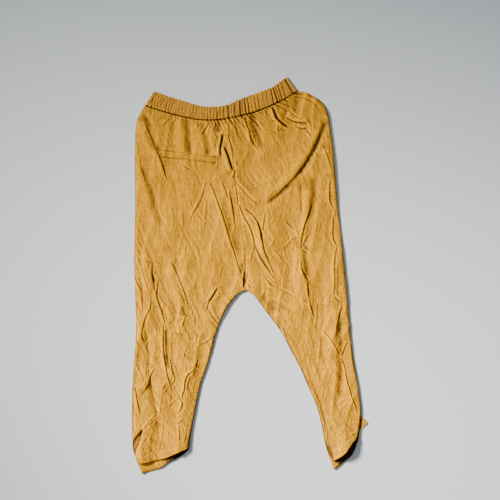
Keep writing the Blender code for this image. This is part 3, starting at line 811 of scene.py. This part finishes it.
GATHERS = (
    Gather(151.5, 147.5, 0.6, 2.0),
    Gather(154.5, 151.5, 1.2, 2.4),
    Gather(157.0, 154.5, 0.9, 1.7),
    Gather(159.5, 157.5, 0.6, 1.8),
    Gather(162.5, 160.5, 0.5, 1.8),
    Gather(165.5, 163.0, 0.4, 1.8),
    Gather(168.8, 165.5, 1.0, 1.8),
    Gather(171.5, 168.5, 0.8, 1.8),
    Gather(174.5, 171.5, 0.5, 1.8),
    Gather(178.0, 175.5, 0.7, 2.0),
    Gather(181.0, 178.5, 0.7, 1.8),
    Gather(184.0, 182.0, 0.5, 1.8),
    Gather(187.5, 186.0, 0.5, 2.0),
    Gather(191.0, 190.0, 0.5, 1.8),
    Gather(194.0, 193.5, 0.6, 1.8),
    Gather(197.0, 197.0, 0.9, 1.8),
    Gather(199.5, 199.5, 0.6, 1.6),
    Gather(202.5, 202.5, 0.8, 1.8),
    Gather(205.3, 205.0, 0.6, 1.6),
    Gather(208.3, 207.7, 1.3, 1.9),
    Gather(211.2, 210.8, 1.0, 1.7),
    Gather(214.0, 213.8, 0.8, 1.6),
    Gather(217.0, 217.5, 1.4, 1.9),
    Gather(220.2, 220.5, 1.2, 1.8),
    Gather(223.6, 224.5, 1.5, 1.9),
    Gather(228.5, 228.9, 2.3, 2.4),
    Gather(231.4, 232.5, 1.0, 1.6),
    Gather(234.2, 235.6, 1.6, 1.9),
    Gather(237.0, 238.2, 0.5, 1.6),
    Gather(239.9, 241.0, 2.3, 2.1),
    Gather(242.4, 243.2, 1.2, 1.6),
    Gather(244.6, 246.5, 2.3, 2.0),
    Gather(247.2, 249.8, 1.9, 1.9),
    Gather(250.5, 253.0, 0.6, 1.8),
    Gather(253.5, 257.3, 1.5, 1.8),
    Gather(257.2, 260.0, 1.1, 1.8),
    Gather(260.4, 262.6, 0.7, 1.7),
    Gather(263.0, 265.2, 0.8, 1.7),
    Gather(266.3, 268.6, 1.2, 1.7),
    Gather(270.4, 274.0, 2.2, 2.2),
    Gather(272.8, 278.0, 2.6, 2.1),
    Gather(275.0, 280.2, 1.8, 1.7),
    Gather(277.4, 282.5, 1.9, 1.7),
    Gather(280.6, 286.3, 1.6, 1.9),
    Gather(284.2, 293.3, 2.6, 2.1),
)


def gather_valleys(along, down):
    """How far the gathers sink the cloth at each share along and down the casing.
    Below the seam each valley keeps its lean, and its share down goes past one."""
    station = np.linspace(0, 1, 200)
    top_x, top_y = along_table(WAIST, "along", ("top_x", "top_y"), station)
    seam_x, seam_y = along_table(WAIST, "along", ("seam_x", "seam_y"), station)
    sunk = np.zeros(np.broadcast(along, down).shape)
    for gather in GATHERS:
        top = np.interp((gather.at_top - PHOTO_MIDDLE_X) * PHOTO_STEP, top_x, station)
        seam = np.interp((gather.at_seam - PHOTO_MIDDLE_X) * PHOTO_STEP, seam_x, station)
        off = (along - top - (seam - top) * down) * BAND_LENGTH
        sunk = sunk + gather.depth * np.exp(-((off / gather.width) ** 2))
    return sunk


def grid_faces(rows, columns, closed):
    """Corner numbers of the quads between a grid's points."""
    numbers = np.arange(rows * columns).reshape(rows, columns)
    beside = np.roll(numbers, -1, axis=1) if closed else numbers[:, 1:]
    here = numbers if closed else numbers[:, :-1]
    return np.stack([here[:-1], here[1:], beside[1:], beside[:-1]], axis=-1).reshape(-1, 4)


def mesh_of(name, points, faces, chart=None, painted_shade=None):
    """A mesh from points in the garment's millimetres, quads, a chart of the cloth's
    own directions for the weave, and a painted shade value for each point."""
    mesh = bpy.data.meshes.new(name)
    placed = points.reshape(-1, 3).astype(np.float64) - (MIDDLE_X, MIDDLE_Y, 0)
    mesh.vertices.add(len(placed))
    mesh.vertices.foreach_set("co", (placed * MILLIMETRE).ravel())
    mesh.loops.add(faces.size)
    mesh.loops.foreach_set("vertex_index", faces.ravel())
    mesh.polygons.add(len(faces))
    mesh.polygons.foreach_set("loop_start", np.arange(0, faces.size, 4))
    mesh.update(calc_edges=True)
    if chart is not None:
        layer = mesh.uv_layers.new(name="cloth_chart")
        layer.data.foreach_set("uv", chart.reshape(-1, 2)[faces.ravel()].ravel())
    # Painted shade for each point, a painted highlight where it is below nought
    if painted_shade is not None:
        store = mesh.attributes.new("painted_shade", "FLOAT", "POINT")
        store.data.foreach_set("value", painted_shade.ravel())
    mesh.shade_smooth()
    return mesh


def piece_of(name, mesh, material, thickness=None, inward=-1):
    """A piece that rides on the garment's one body, with its thickness if it is a shell."""
    mesh.materials.append(material)
    piece = bpy.data.objects.new(name, mesh)
    bpy.context.scene.collection.objects.link(piece)
    if thickness:
        shell = piece.modifiers.new("thickness", "SOLIDIFY")
        shell.thickness = thickness * MILLIMETRE
        shell.offset = inward
        shell.use_rim = True
    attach(piece, "root")
    return piece


def blur(field, times):
    """Each value averaged with its neighbours, a number of times."""
    for _ in range(times):
        padded = np.pad(field, 1, mode="edge")
        sides = padded[:-2, 1:-1] + padded[2:, 1:-1] + padded[1:-1, :-2] + padded[1:-1, 2:]
        field = 0.5 * field + 0.125 * sides
    return field


def painted_shade_of(height, turn=1):
    """Painted shade for how far each point lies below the cloth round it, narrow and
    wide together, and for how far it has turned under at an edge; below nought it is a
    painted highlight on the crowns."""
    narrow = blur(height, 5) - height
    wide = blur(height, 50) - height
    return np.clip(1.3 * narrow + 0.08 * wide, -0.6, 1.2) + 1.8 * (1 - turn) ** 1.5


def spread_columns(level, right, rounding, middle_steps):
    """Shares across each row: close columns where the edges are rounded, even ones
    between them. Also how far each edge column has turned up, from 0 to 1."""
    angles = np.linspace(0, np.pi / 2, EDGE_STEPS)
    offsets = rounding * (1 - np.cos(angles))
    side_x, side_y = side_edge(right, level)
    seam_x, seam_y = inner_edge(right, level)
    width = np.hypot(seam_x - side_x, seam_y - side_y)
    from_side = offsets / width
    from_seam = 1 - offsets[::-1] / width
    middle = np.linspace(0, 1, middle_steps + 2)[1:-1]
    first = from_side[:, -1:]
    share = np.hstack([from_side, first + (from_seam[:, :1] - first) * middle, from_seam])
    flat = np.ones(middle_steps + EDGE_STEPS)
    side_turn = np.concatenate([np.sin(angles), flat])
    seam_turn = np.concatenate([flat, np.sin(angles)[::-1]])
    return share, side_turn, seam_turn, width


class SlitRow(NamedTuple):
    """A row of the left hem's open slit, in pixels of the photograph: its two lips."""

    down: float
    outer: float
    inner: float


SLIT = (
    SlitRow(428.5, 143.0, 143.2),
    SlitRow(433, 139.0, 142.3),
    SlitRow(439, 134.3, 140.8),
    SlitRow(444, 132.6, 138.8),
    SlitRow(450, 131.5, 136.2),
    SlitRow(456, 131.0, 135.2),
    SlitRow(460, 132.0, 136.3),
    SlitRow(464, 136.0, 139.2),
)


def slit_depth(x, y):
    """How far the open slit above the left hem sinks the cloth, from 0 to 1."""
    column = x / PHOTO_STEP + PHOTO_MIDDLE_X
    row = PHOTO_MIDDLE_Y - y / PHOTO_STEP
    outer, inner = along_table(SLIT, "down", ("outer", "inner"), np.clip(row, 428.5, 464))
    inside = ease((column - outer) / 1.1 + 0.5) * ease((inner - column) / 1.1 + 0.5)
    return inside * ease((row - 428.5) / 2)


def back_surface(right, level, share):
    """Points on top of one back panel, at levels down it and shares across it: the
    folded cloth with its creases, the puckers under the casing, the seams' grooves,
    the pocket's slit and the wavy hem. Also the painted shade at each: in the creases,
    the puckers, the seams' grooves and the pocket's slit, along the inseam of the leg,
    and more towards the waist."""
    side_x, side_y = side_edge(right, level)
    seam_x, seam_y = inner_edge(right, level)
    width = np.hypot(seam_x - side_x, seam_y - side_y)
    body = 1 - ease((level - CROTCH) / CROTCH_EASE + 0.3)
    x, y = panel_plan(right, False, level, share)
    creased, shade = creases_at(x, y)
    height = cloth_height(x, y) + creased
    waist_share = 1 - share * (1 - WAIST_CENTRE) if right else share * WAIST_CENTRE
    run_out = 15 + 9 * wander(waist_share, 31, 0.02)
    valleys = gather_valleys(waist_share, 1 + level / 55)
    fuller = (1 + 1.3 * ease((waist_share - 0.30) / 0.25)) * np.exp(-level / run_out)
    fuller *= 1 - 0.65 * ease((waist_share - 0.80) / 0.12)
    height += 0.9 * (0.5 - valleys) * fuller
    # Painted shade in the puckers' valleys
    shade += 0.26 * valleys * fuller
    from_seam = (1 - share) * width
    height -= 1.1 * np.exp(-((from_seam / 1.6) ** 2)) * body
    height += 0.45 * wander(level, 41, 6.5) * np.exp(-from_seam / 9) * body
    # Painted shade along the inseam below the crotch, stronger on the right leg
    shade += (1.1 if right else 0.4) * np.exp(-((from_seam / 2.6) ** 2)) * (1 - body)
    # Painted shade, darker towards the waist
    shade += 0.13 * np.exp(-level / 95)
    seam_shows = 1 - 0.7 * ease((waist_share - 0.86) / 0.05)
    height -= 2.6 * seam_shows * np.exp(-((level / 2.3) ** 2))
    # Painted shade in the groove of the casing's seam
    shade += 0.9 * seam_shows * np.exp(-((level / 2.2) ** 2))
    near_hem = ease((level - HEM + HEM_TURN + 4) / 10)
    height += 0.3 * ease((level - HEM + HEM_TURN) / 1.5)
    height += 0.35 * wander(share * width, 43, 7) * near_hem
    if not right:
        height -= pocket_slit(level, share)
        # Painted shade in the pocket's grooves
        shade += 0.35 * pocket_slit(level, share)
        height += (LOWEST_TOP - height) * slit_depth(x, y)
    height = np.maximum(height, LOWEST_TOP)
    return np.stack(np.broadcast_arrays(x, y, height), axis=-1), shade


def pocket_slit(level, share):
    """Depth of the fine grooves above and below the pocket's welt, deepest at its ends."""
    from_middle = np.abs(share - 0.5 * (POCKET_START + POCKET_END)) / (POCKET_END - POCKET_START)
    there = ease((0.53 - from_middle) / 0.03)
    above = np.exp(-(((level - POCKET_TOP + 1.2) / 1.3) ** 2))
    below = np.exp(-(((level - POCKET_TOP - POCKET_WIDTH - 1.0) / 1.3) ** 2))
    return there * (0.25 + 2.6 * from_middle**2) * (0.8 * above + 1.2 * below)


def back_cloth(right):
    """One back panel, brought down to its side seam and its inseam along a quarter of
    an oval, with painted shade in its hollows, at its turned edges and for the depth
    of the slit beside the left hem."""
    near_waist = np.linspace(0, 9, 10)[:-1]
    level = np.concatenate([near_waist, np.linspace(9, HEM, BACK_ROWS)])[:, None]
    share, side_turn, seam_turn, width = spread_columns(level, right, BACK_ROUNDING, BACK_COLUMNS)
    leg = ease((level - CROTCH) / CROTCH_EASE + 0.3)
    turn = side_turn * (1 - leg * (1 - seam_turn))
    points, shade = back_surface(right, level, share)
    # Painted shade in the hollows and where the edges turn under
    shade = shade + painted_shade_of(points[..., 2], turn)
    points[..., 2] = SEAM_HEIGHT + (points[..., 2] - SEAM_HEIGHT) * turn
    # Painted shade in the slit beside the left hem
    if not right:
        shade = shade + 0.12 * slit_depth(points[..., 0], points[..., 1])
    chart = np.stack(np.broadcast_arrays(share * width, level), axis=-1) * MILLIMETRE
    faces = grid_faces(*share.shape, False)
    if right:
        faces = faces[:, ::-1]
    name = "right_back_cloth" if right else "left_back_cloth"
    mesh = mesh_of(name, points, faces, chart, shade)
    piece = piece_of(name, mesh, BODY_CLOTH, CLOTH_THICKNESS)
    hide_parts("right_back_panel" if right else "left_back_panel")
    return piece, points


def welt_cloth():
    """The pocket's welt: a strip of cloth on the left back panel, rounded at its rim."""
    level = np.linspace(POCKET_TOP, POCKET_TOP + POCKET_WIDTH, 16)[:, None]
    share = np.linspace(POCKET_START, POCKET_END, 150)[None, :]
    points, shade = back_surface(False, level, share)
    length = 122.0
    from_end = np.minimum(share - POCKET_START, POCKET_END - share) / (POCKET_END - POCKET_START)
    from_side = np.minimum(level - POCKET_TOP, POCKET_TOP + POCKET_WIDTH - level)
    from_rim = np.clip(np.minimum(from_end * length, from_side) / 1.6, 0, 1)
    points[..., 2] += 0.35 + 0.7 * np.sqrt(1 - (1 - from_rim) ** 2)
    chart = np.stack(np.broadcast_arrays(share * 0.5 * length, 3 * level), axis=-1) * MILLIMETRE
    faces = grid_faces(*points.shape[:2], False)
    # Painted shade from the creases and, at half strength, from the welt's hollows
    mesh = mesh_of("welt_cloth", points, faces, chart, shade + 0.5 * painted_shade_of(points[..., 2]))
    piece = piece_of("welt_cloth", mesh, BODY_CLOTH, 0.7)
    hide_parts("back_pocket_welt")
    return piece, points


def stitch_row(name, path, pitch, thread):
    """Stitches along a path on the cloth: each a short six-sided rod with pointed ends,
    laid one pitch after another and arched over the cloth."""
    run = np.diff(path, axis=0)
    gone = np.concatenate([[0], np.cumsum(np.linalg.norm(run, axis=1))])
    starts = np.arange(0.5 * pitch, gone[-1] - pitch, pitch)
    span = np.array([0.0, 0.12, 0.5, 0.88, 1.0]) * 0.74 * pitch
    arch = np.array([-0.12, 0.12, 0.28, 0.12, -0.12])
    girth = np.array([0.05, 0.9, 1.0, 0.9, 0.05]) * thread
    at = starts[:, None] + span
    spine = np.stack([np.interp(at, gone, path[:, axis]) for axis in range(3)], axis=-1)
    spine[..., 2] += arch
    along = spine[:, -1] - spine[:, 0]
    along /= np.linalg.norm(along, axis=1, keepdims=True)
    beside = np.stack([-along[:, 1], along[:, 0], 0 * along[:, 0]], axis=1)
    over = np.cross(along, beside)
    angle = np.linspace(0, 2 * np.pi, 7)[:-1]
    ring = beside[:, None, None] * np.cos(angle)[:, None] + over[:, None, None] * np.sin(angle)[:, None]
    points = spine[:, :, None] + girth[:, None, None] * ring
    face = grid_faces(5, 6, True)
    faces = (np.arange(len(starts))[:, None, None] * 30 + face).reshape(-1, 4)
    mesh = mesh_of(name, points, faces)
    piece = piece_of(name, mesh, THREAD)
    return piece


def front_cloth(right):
    """One front panel, flat on the surface, its edges turned up to the seams, with a
    painted shadow where it shows inside an open hem.
    """
    level = np.linspace(0, HEM, FRONT_ROWS)[:, None]
    share, side_turn, seam_turn, width = spread_columns(level, right, FRONT_ROUNDING, FRONT_COLUMNS)
    leg = ease((level - CROTCH) / CROTCH_EASE + 0.3)
    turn = side_turn * (1 - leg * (1 - seam_turn))
    x, y = panel_plan(right, True, level, share)
    relief = 0.5 + 0.5 * mottle(x, y, 61, 17, 38) + 0.25 * mottle(x, y, 62, 7, 13)
    hem_lift = 1.6 * (1 + wander(share * width, 63, 16)) * ease((level - HEM + 22) / 22)
    height = 0.1 + 0.5 * np.clip(relief, 0, 2) + hem_lift
    under = FRONT_ROUNDING + (height - FRONT_ROUNDING) * turn
    points = np.stack(np.broadcast_arrays(x, y, under), axis=-1)
    chart = np.stack(np.broadcast_arrays(share * width, level), axis=-1) * MILLIMETRE
    # Painted shadow, near black, on the part seen inside each open hem, fading up the leg; on the right the
    # flap and the lowest corner are left out
    if right:
        flap = ease((x - side_edge(right, level)[0]) / 2.5)
        shade = 3.2 * ease((0.95 - share) / 0.05) * (1 - flap) * ease((y + 441) / 4)
    else:
        shade = 3.0 * ease((share - 0.40) / 0.42)
    shade = shade * ease((level - 640) / 60)
    faces = grid_faces(*under.shape, False)
    if not right:
        faces = faces[:, ::-1]
    name = "right_front_cloth" if right else "left_front_cloth"
    mesh = mesh_of(name, points, faces, chart, shade)
    piece = piece_of(name, mesh, BODY_CLOTH, CLOTH_THICKNESS)
    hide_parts("right_front_panel" if right else "left_front_panel")
    return piece, points


def casing_cloth():
    """The elastic casing: a flattened ring. Along it the gathers rise and fall, and
    across it the cloth rounds over at the top edge and dips into the seam. It has
    painted shade in the gathers' valleys, the seam's groove and its hollows and towards
    its left end, and a painted highlight on the raised streaks."""
    length = BAND_LENGTH
    half = BAND_HEIGHT / 2
    angles = np.linspace(np.pi / 2, -np.pi / 2, 13)[1:-1]
    start = half / length
    over = np.linspace(start, 1 - start, BAND_STEPS + 1)
    under = np.linspace(1 - start, start, UNDER_BAND_STEPS + 1)
    turn_in = (half - half * np.cos(angles)) / length
    turn_up = half * np.sin(angles)
    along = np.concatenate([over, 1 - turn_in, under, turn_in[::-1]])
    high = np.concatenate(
        [np.full(len(over), half), turn_up, np.full(len(under), -half), turn_up[::-1]]
    )
    upper = np.concatenate(
        [np.ones(len(over)), np.linspace(1, 0, len(angles)), np.zeros(len(under)),
         np.linspace(0, 1, len(angles))]
    )
    across = np.concatenate([np.linspace(0, 0.08, 6)[:-1], np.linspace(0.08, 1, BAND_ROWS)])
    across = across[:, None]
    sunk = gather_valleys(along, across)
    top_x, top_y = along_table(WAIST, "along", ("top_x", "top_y"), along)
    seam_x, seam_y = along_table(WAIST, "along", ("seam_x", "seam_y"), along)
    scallop = -0.8 * gather_valleys(along, 0) * np.exp(-across * 7)
    deep = np.hypot(seam_x - top_x, seam_y - top_y)
    down = across - scallop / deep
    x = top_x + down * (seam_x - top_x)
    y = top_y + down * (seam_y - top_y)
    from_top = across * deep
    from_seam = (1 - across) * deep
    rounding = 1.5 * (1 - np.sqrt(np.clip(1 - (1 - np.clip(from_top / 2.2, 0, 1)) ** 2, 0, 1)))
    seam_shows = 1 - 0.7 * ease((along - 0.86) / 0.05)
    groove = 2.0 * seam_shows * np.exp(-((from_seam / 1.9) ** 2))
    streaks = 0.50 * wander(along * 400 + across * 5, 52, 2.6)
    streaks += 0.30 * wander(along * 400 - across * 4, 53, 1.5)
    ridge = 0.9 + streaks - sunk
    belly = 0.7 * np.sin(np.pi * across)
    out = (ridge * upper + belly - rounding - groove) * upper
    below = (0.1 + 0.4 * sunk + rounding + groove * 0.5) * (1 - upper)
    z = high + half + out + below
    points = np.stack(np.broadcast_arrays(x, y, z), axis=-1)
    chart = np.stack(np.broadcast_arrays(along * length * 1.9, from_top), axis=-1) * MILLIMETRE
    faces = grid_faces(*z.shape, True)
    # Painted shade in the gathers' valleys and the seam's groove, painted highlight on raised streaks and
    # shade on low ones, and painted shade towards the left end
    shade = 0.30 * sunk**1.3 + 0.35 * groove - 0.3 * streaks + 0.15 * (1 - along)
    shade = 0.5 * painted_shade_of(z * upper) + shade * upper
    mesh = mesh_of("casing_cloth", points, faces, chart, shade)
    piece = piece_of("casing_cloth", mesh, CASING_CLOTH, BAND_THICKNESS)
    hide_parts("waistband")
    return piece, points


def socket(group, name, kind, incoming, default=None):
    """One named input or output of a node group."""
    direction = "INPUT" if incoming else "OUTPUT"
    made = group.interface.new_socket(name=name, in_out=direction, socket_type=kind)
    if default is not None:
        made.default_value = default
    return made


def link(tree, node, output, target, slot_name):
    """Joins one node's output to another's input."""
    tree.links.new(node.outputs[output], target.inputs[slot_name])


def math_node(tree, operation, first, second=None, third=None):
    """A Math node whose inputs are numbers or outputs of other nodes."""
    node = tree.nodes.new("ShaderNodeMath")
    node.operation = operation
    for index, value in enumerate((first, second, third)):
        if value is None:
            continue
        if isinstance(value, (int, float)):
            node.inputs[index].default_value = value
        else:
            tree.links.new(value, node.inputs[index])
    return node.outputs[0]


def weave_group():
    """Plain weave with slubs: two crossed rows of threads whose thickness wanders,
    with thick places stretched along each thread."""
    group = bpy.data.node_groups.new("linen_weave", "ShaderNodeTree")
    socket(group, "Chart", "NodeSocketVector", True)
    socket(group, "Threads", "NodeSocketFloat", True, 1500.0)
    socket(group, "Tone", "NodeSocketFloat", False)
    socket(group, "Height", "NodeSocketFloat", False)
    start = group.nodes.new("NodeGroupInput")
    end = group.nodes.new("NodeGroupOutput")
    slubs = []
    for stretch in ((420, 24, 1), (24, 420, 1)):
        mapping = group.nodes.new("ShaderNodeMapping")
        mapping.inputs["Scale"].default_value = stretch
        link(group, start, "Chart", mapping, "Vector")
        noise = group.nodes.new("ShaderNodeTexNoise")
        noise.inputs["Scale"].default_value = 1.0
        noise.inputs["Detail"].default_value = 3.0
        link(group, mapping, "Vector", noise, "Vector")
        slubs.append(noise.outputs["Fac"])
    split = group.nodes.new("ShaderNodeSeparateXYZ")
    link(group, start, "Chart", split, "Vector")
    threads = []
    for axis, slub in (("X", slubs[0]), ("Y", slubs[1])):
        place = math_node(group, "MULTIPLY", split.outputs[axis], start.outputs["Threads"])
        moved = math_node(group, "MULTIPLY_ADD", slub, 1.6, place)
        turn = math_node(group, "MULTIPLY", moved, 2 * np.pi)
        threads.append(math_node(group, "SINE", turn))
    crossed = math_node(group, "MULTIPLY", threads[0], threads[1])
    both = math_node(group, "ADD", slubs[0], slubs[1])
    tone = math_node(group, "MULTIPLY_ADD", crossed, 0.20, both)
    raised = math_node(group, "MULTIPLY_ADD", crossed, 0.35, both)
    group.links.new(math_node(group, "MULTIPLY", tone, 0.5), end.inputs["Tone"])
    group.links.new(math_node(group, "MULTIPLY", raised, 0.5), end.inputs["Height"])
    return group


def crinkle_group():
    """The fine crush of the cloth: noise stretched down the cloth, with sharp ridges."""
    group = bpy.data.node_groups.new("linen_crinkle", "ShaderNodeTree")
    socket(group, "Chart", "NodeSocketVector", True)
    socket(group, "Size", "NodeSocketFloat", True, 1.0)
    socket(group, "Height", "NodeSocketFloat", False)
    start = group.nodes.new("NodeGroupInput")
    end = group.nodes.new("NodeGroupOutput")
    sized = group.nodes.new("ShaderNodeVectorMath")
    sized.operation = "SCALE"
    link(group, start, "Chart", sized, "Vector")
    link(group, start, "Size", sized, "Scale")
    heights = []
    for stretch, detail in (((150, 62, 1), 4.0), ((310, 150, 1), 3.0)):
        mapping = group.nodes.new("ShaderNodeMapping")
        mapping.inputs["Scale"].default_value = stretch
        link(group, sized, "Vector", mapping, "Vector")
        noise = group.nodes.new("ShaderNodeTexNoise")
        noise.inputs["Scale"].default_value = 1.0
        noise.inputs["Detail"].default_value = detail
        noise.inputs["Distortion"].default_value = 0.6
        link(group, mapping, "Vector", noise, "Vector")
        centred = math_node(group, "SUBTRACT", noise.outputs["Fac"], 0.5)
        heights.append(math_node(group, "ABSOLUTE", centred))
    total = math_node(group, "MULTIPLY_ADD", heights[1], 0.5, heights[0])
    group.links.new(total, end.inputs["Height"])
    return group


def cloth_material(name, light, dark, crush):
    """Crinkled matt cloth: the weave and the mottled dye set its colour; a per-point
    attribute paints shade into the valleys, a highlight onto the ridges and a near-black
    shadow where it is deepest; the weave and the crush set its bump."""
    material = bpy.data.materials.new(name)
    material.use_nodes = True
    tree = material.node_tree
    shader = tree.nodes["Principled BSDF"]
    chart = tree.nodes.new("ShaderNodeUVMap")
    chart.uv_map = "cloth_chart"
    weave = tree.nodes.new("ShaderNodeGroup")
    weave.node_tree = WEAVE
    link(tree, chart, "UV", weave, "Chart")
    crinkle = tree.nodes.new("ShaderNodeGroup")
    crinkle.node_tree = CRINKLE
    link(tree, chart, "UV", crinkle, "Chart")
    dye = tree.nodes.new("ShaderNodeTexNoise")
    dye.inputs["Scale"].default_value = 34.0
    dye.inputs["Detail"].default_value = 4.0
    link(tree, chart, "UV", dye, "Vector")
    painted_shade = tree.nodes.new("ShaderNodeAttribute")
    painted_shade.attribute_name = "painted_shade"
    # Painted shade from the attribute above nought, painted highlight from it below nought
    valley = math_node(tree, "MAXIMUM", painted_shade.outputs["Fac"], 0.0)
    ridge = math_node(tree, "MINIMUM", painted_shade.outputs["Fac"], 0.0)
    tone = math_node(tree, "MULTIPLY_ADD", weave.outputs["Tone"], 1.3, -0.15)
    tone = math_node(tree, "MULTIPLY_ADD", dye.outputs["Fac"], 0.3, tone)
    tone = math_node(tree, "MULTIPLY_ADD", ridge, -1.1, tone)
    tone = math_node(tree, "MULTIPLY_ADD", valley, -0.8, tone)
    # The dark colour serves both the weave's darker threads and the painted shade
    mix = tree.nodes.new("ShaderNodeValToRGB")
    mix.color_ramp.elements[0].position = 0.0
    mix.color_ramp.elements[0].color = (*dark, 1)
    mix.color_ramp.elements[1].position = 1.0
    mix.color_ramp.elements[1].color = (*light, 1)
    tree.links.new(tone, mix.inputs["Fac"])
    # Near-black painted shadow where the attribute passes one
    deep_shadow = math_node(tree, "SUBTRACT", painted_shade.outputs["Fac"], 1.0)
    deep_shadow = math_node(tree, "MULTIPLY", deep_shadow, 0.8)
    shadow = tree.nodes.new("ShaderNodeMix")
    shadow.data_type = "RGBA"
    shadow.clamp_factor = True
    tree.links.new(deep_shadow, shadow.inputs["Factor"])
    tree.links.new(mix.outputs["Color"], shadow.inputs["A"])
    shadow.inputs["B"].default_value = (0.030, 0.0125, 0.0015, 1)
    tree.links.new(shadow.outputs["Result"], shader.inputs["Base Color"])
    shader.inputs["Roughness"].default_value = 0.86
    shader.inputs["Specular IOR Level"].default_value = 0.1
    relief = math_node(tree, "MULTIPLY", weave.outputs["Height"], 0.00034)
    relief = math_node(tree, "MULTIPLY_ADD", crinkle.outputs["Height"], crush, relief)
    bump = tree.nodes.new("ShaderNodeBump")
    bump.inputs["Strength"].default_value = 1.0
    bump.inputs["Distance"].default_value = 1.0
    tree.links.new(relief, bump.inputs["Height"])
    link(tree, bump, "Normal", shader, "Normal")
    return material


def plain_material(name, colour, roughness):
    """A plain painted surface."""
    material = bpy.data.materials.new(name)
    material.use_nodes = True
    shader = material.node_tree.nodes["Principled BSDF"]
    shader.inputs["Base Color"].default_value = (*colour, 1)
    shader.inputs["Roughness"].default_value = roughness
    return material


def floor_and_light():
    """A pale floor, a soft key light from the left, and an even fill."""
    mesh = bpy.data.meshes.new("floor")
    reach = 4.0
    corners = [(-reach, -reach, 0), (reach, -reach, 0), (reach, reach, 0), (-reach, reach, 0)]
    mesh.from_pydata(corners, [], [(0, 1, 2, 3)])
    mesh.materials.append(plain_material("floor_paint", (0.72, 0.79, 0.88), 0.9))
    floor = bpy.data.objects.new("floor", mesh)
    bpy.context.scene.collection.objects.link(floor)
    lamp = bpy.data.lights.new("key_light", "SPOT")
    lamp.energy = 4100.0
    lamp.color = (1.0, 0.93, 0.79)
    lamp.spot_size = np.radians(26.0)
    lamp.spot_blend = 1.0
    lamp.shadow_soft_size = 0.55
    key = bpy.data.objects.new("key_light", lamp)
    key.location = (-3.8, 1.9, 3.0)
    aim = Vector((0.74, -0.70, 0.0))
    key.rotation_euler = (aim - key.location).to_track_quat("-Z", "Y").to_euler()
    bpy.context.scene.collection.objects.link(key)
    world = bpy.data.worlds.new("studio")
    world.use_nodes = True
    sky = world.node_tree.nodes["Background"]
    sky.inputs["Color"].default_value = (0.93, 0.97, 1.0, 1)
    sky.inputs["Strength"].default_value = 0.31
    bpy.context.scene.world = world


def photo_camera():
    """Straight above the garment, far enough that one picture is 1175 mm wide."""
    lens = bpy.data.cameras.new("camera")
    lens.lens = 85.0
    lens.sensor_width = 36.0
    camera = bpy.data.objects.new("camera", lens)
    picture = 1.175
    camera.location = (0.0008, 0.0595, picture * lens.lens / lens.sensor_width + 0.006)
    bpy.context.scene.collection.objects.link(camera)
    bpy.context.scene.camera = camera


WEAVE = weave_group()
CRINKLE = crinkle_group()
BODY_CLOTH = cloth_material("ochre_linen", (1.0, 0.462, 0.0), (0.165, 0.077, 0.019), 0.0052)
CASING_CLOTH = cloth_material("ochre_casing_linen", (0.95, 0.440, 0.022), (0.155, 0.074, 0.022), 0.0040)

THREAD = plain_material("ochre_thread", (0.62, 0.27, 0.03), 0.6)

left_back, left_points = back_cloth(False)
right_back, right_points = back_cloth(True)
left_front, left_front_points = front_cloth(False)
right_front, right_front_points = front_cloth(True)
casing, casing_points = casing_cloth()

welt, welt_points = welt_cloth()

left_waist_row = back_surface(False, np.array([[4.5]]), np.linspace(0.02, 0.99, 400)[None, :])[0][0]
right_waist_row = back_surface(True, np.array([[4.5]]), np.linspace(0.99, 0.02, 400)[None, :])[0][0]
left_hem_row = back_surface(False, np.array([[HEM - 9.0]]), np.linspace(0.04, 0.97, 200)[None, :])[0][0]
right_hem_row = back_surface(True, np.array([[HEM - 9.0]]), np.linspace(0.04, 0.97, 200)[None, :])[0][0]
stitching = [
    stitch_row("left_casing_stitches", left_waist_row, 3.2, 0.35),
    stitch_row("right_casing_stitches", right_waist_row, 3.2, 0.35),
    stitch_row("left_hem_stitches", left_hem_row, 3.2, 0.32),
    stitch_row("right_hem_stitches", right_hem_row, 3.2, 0.32),
]

floor_and_light()
photo_camera()
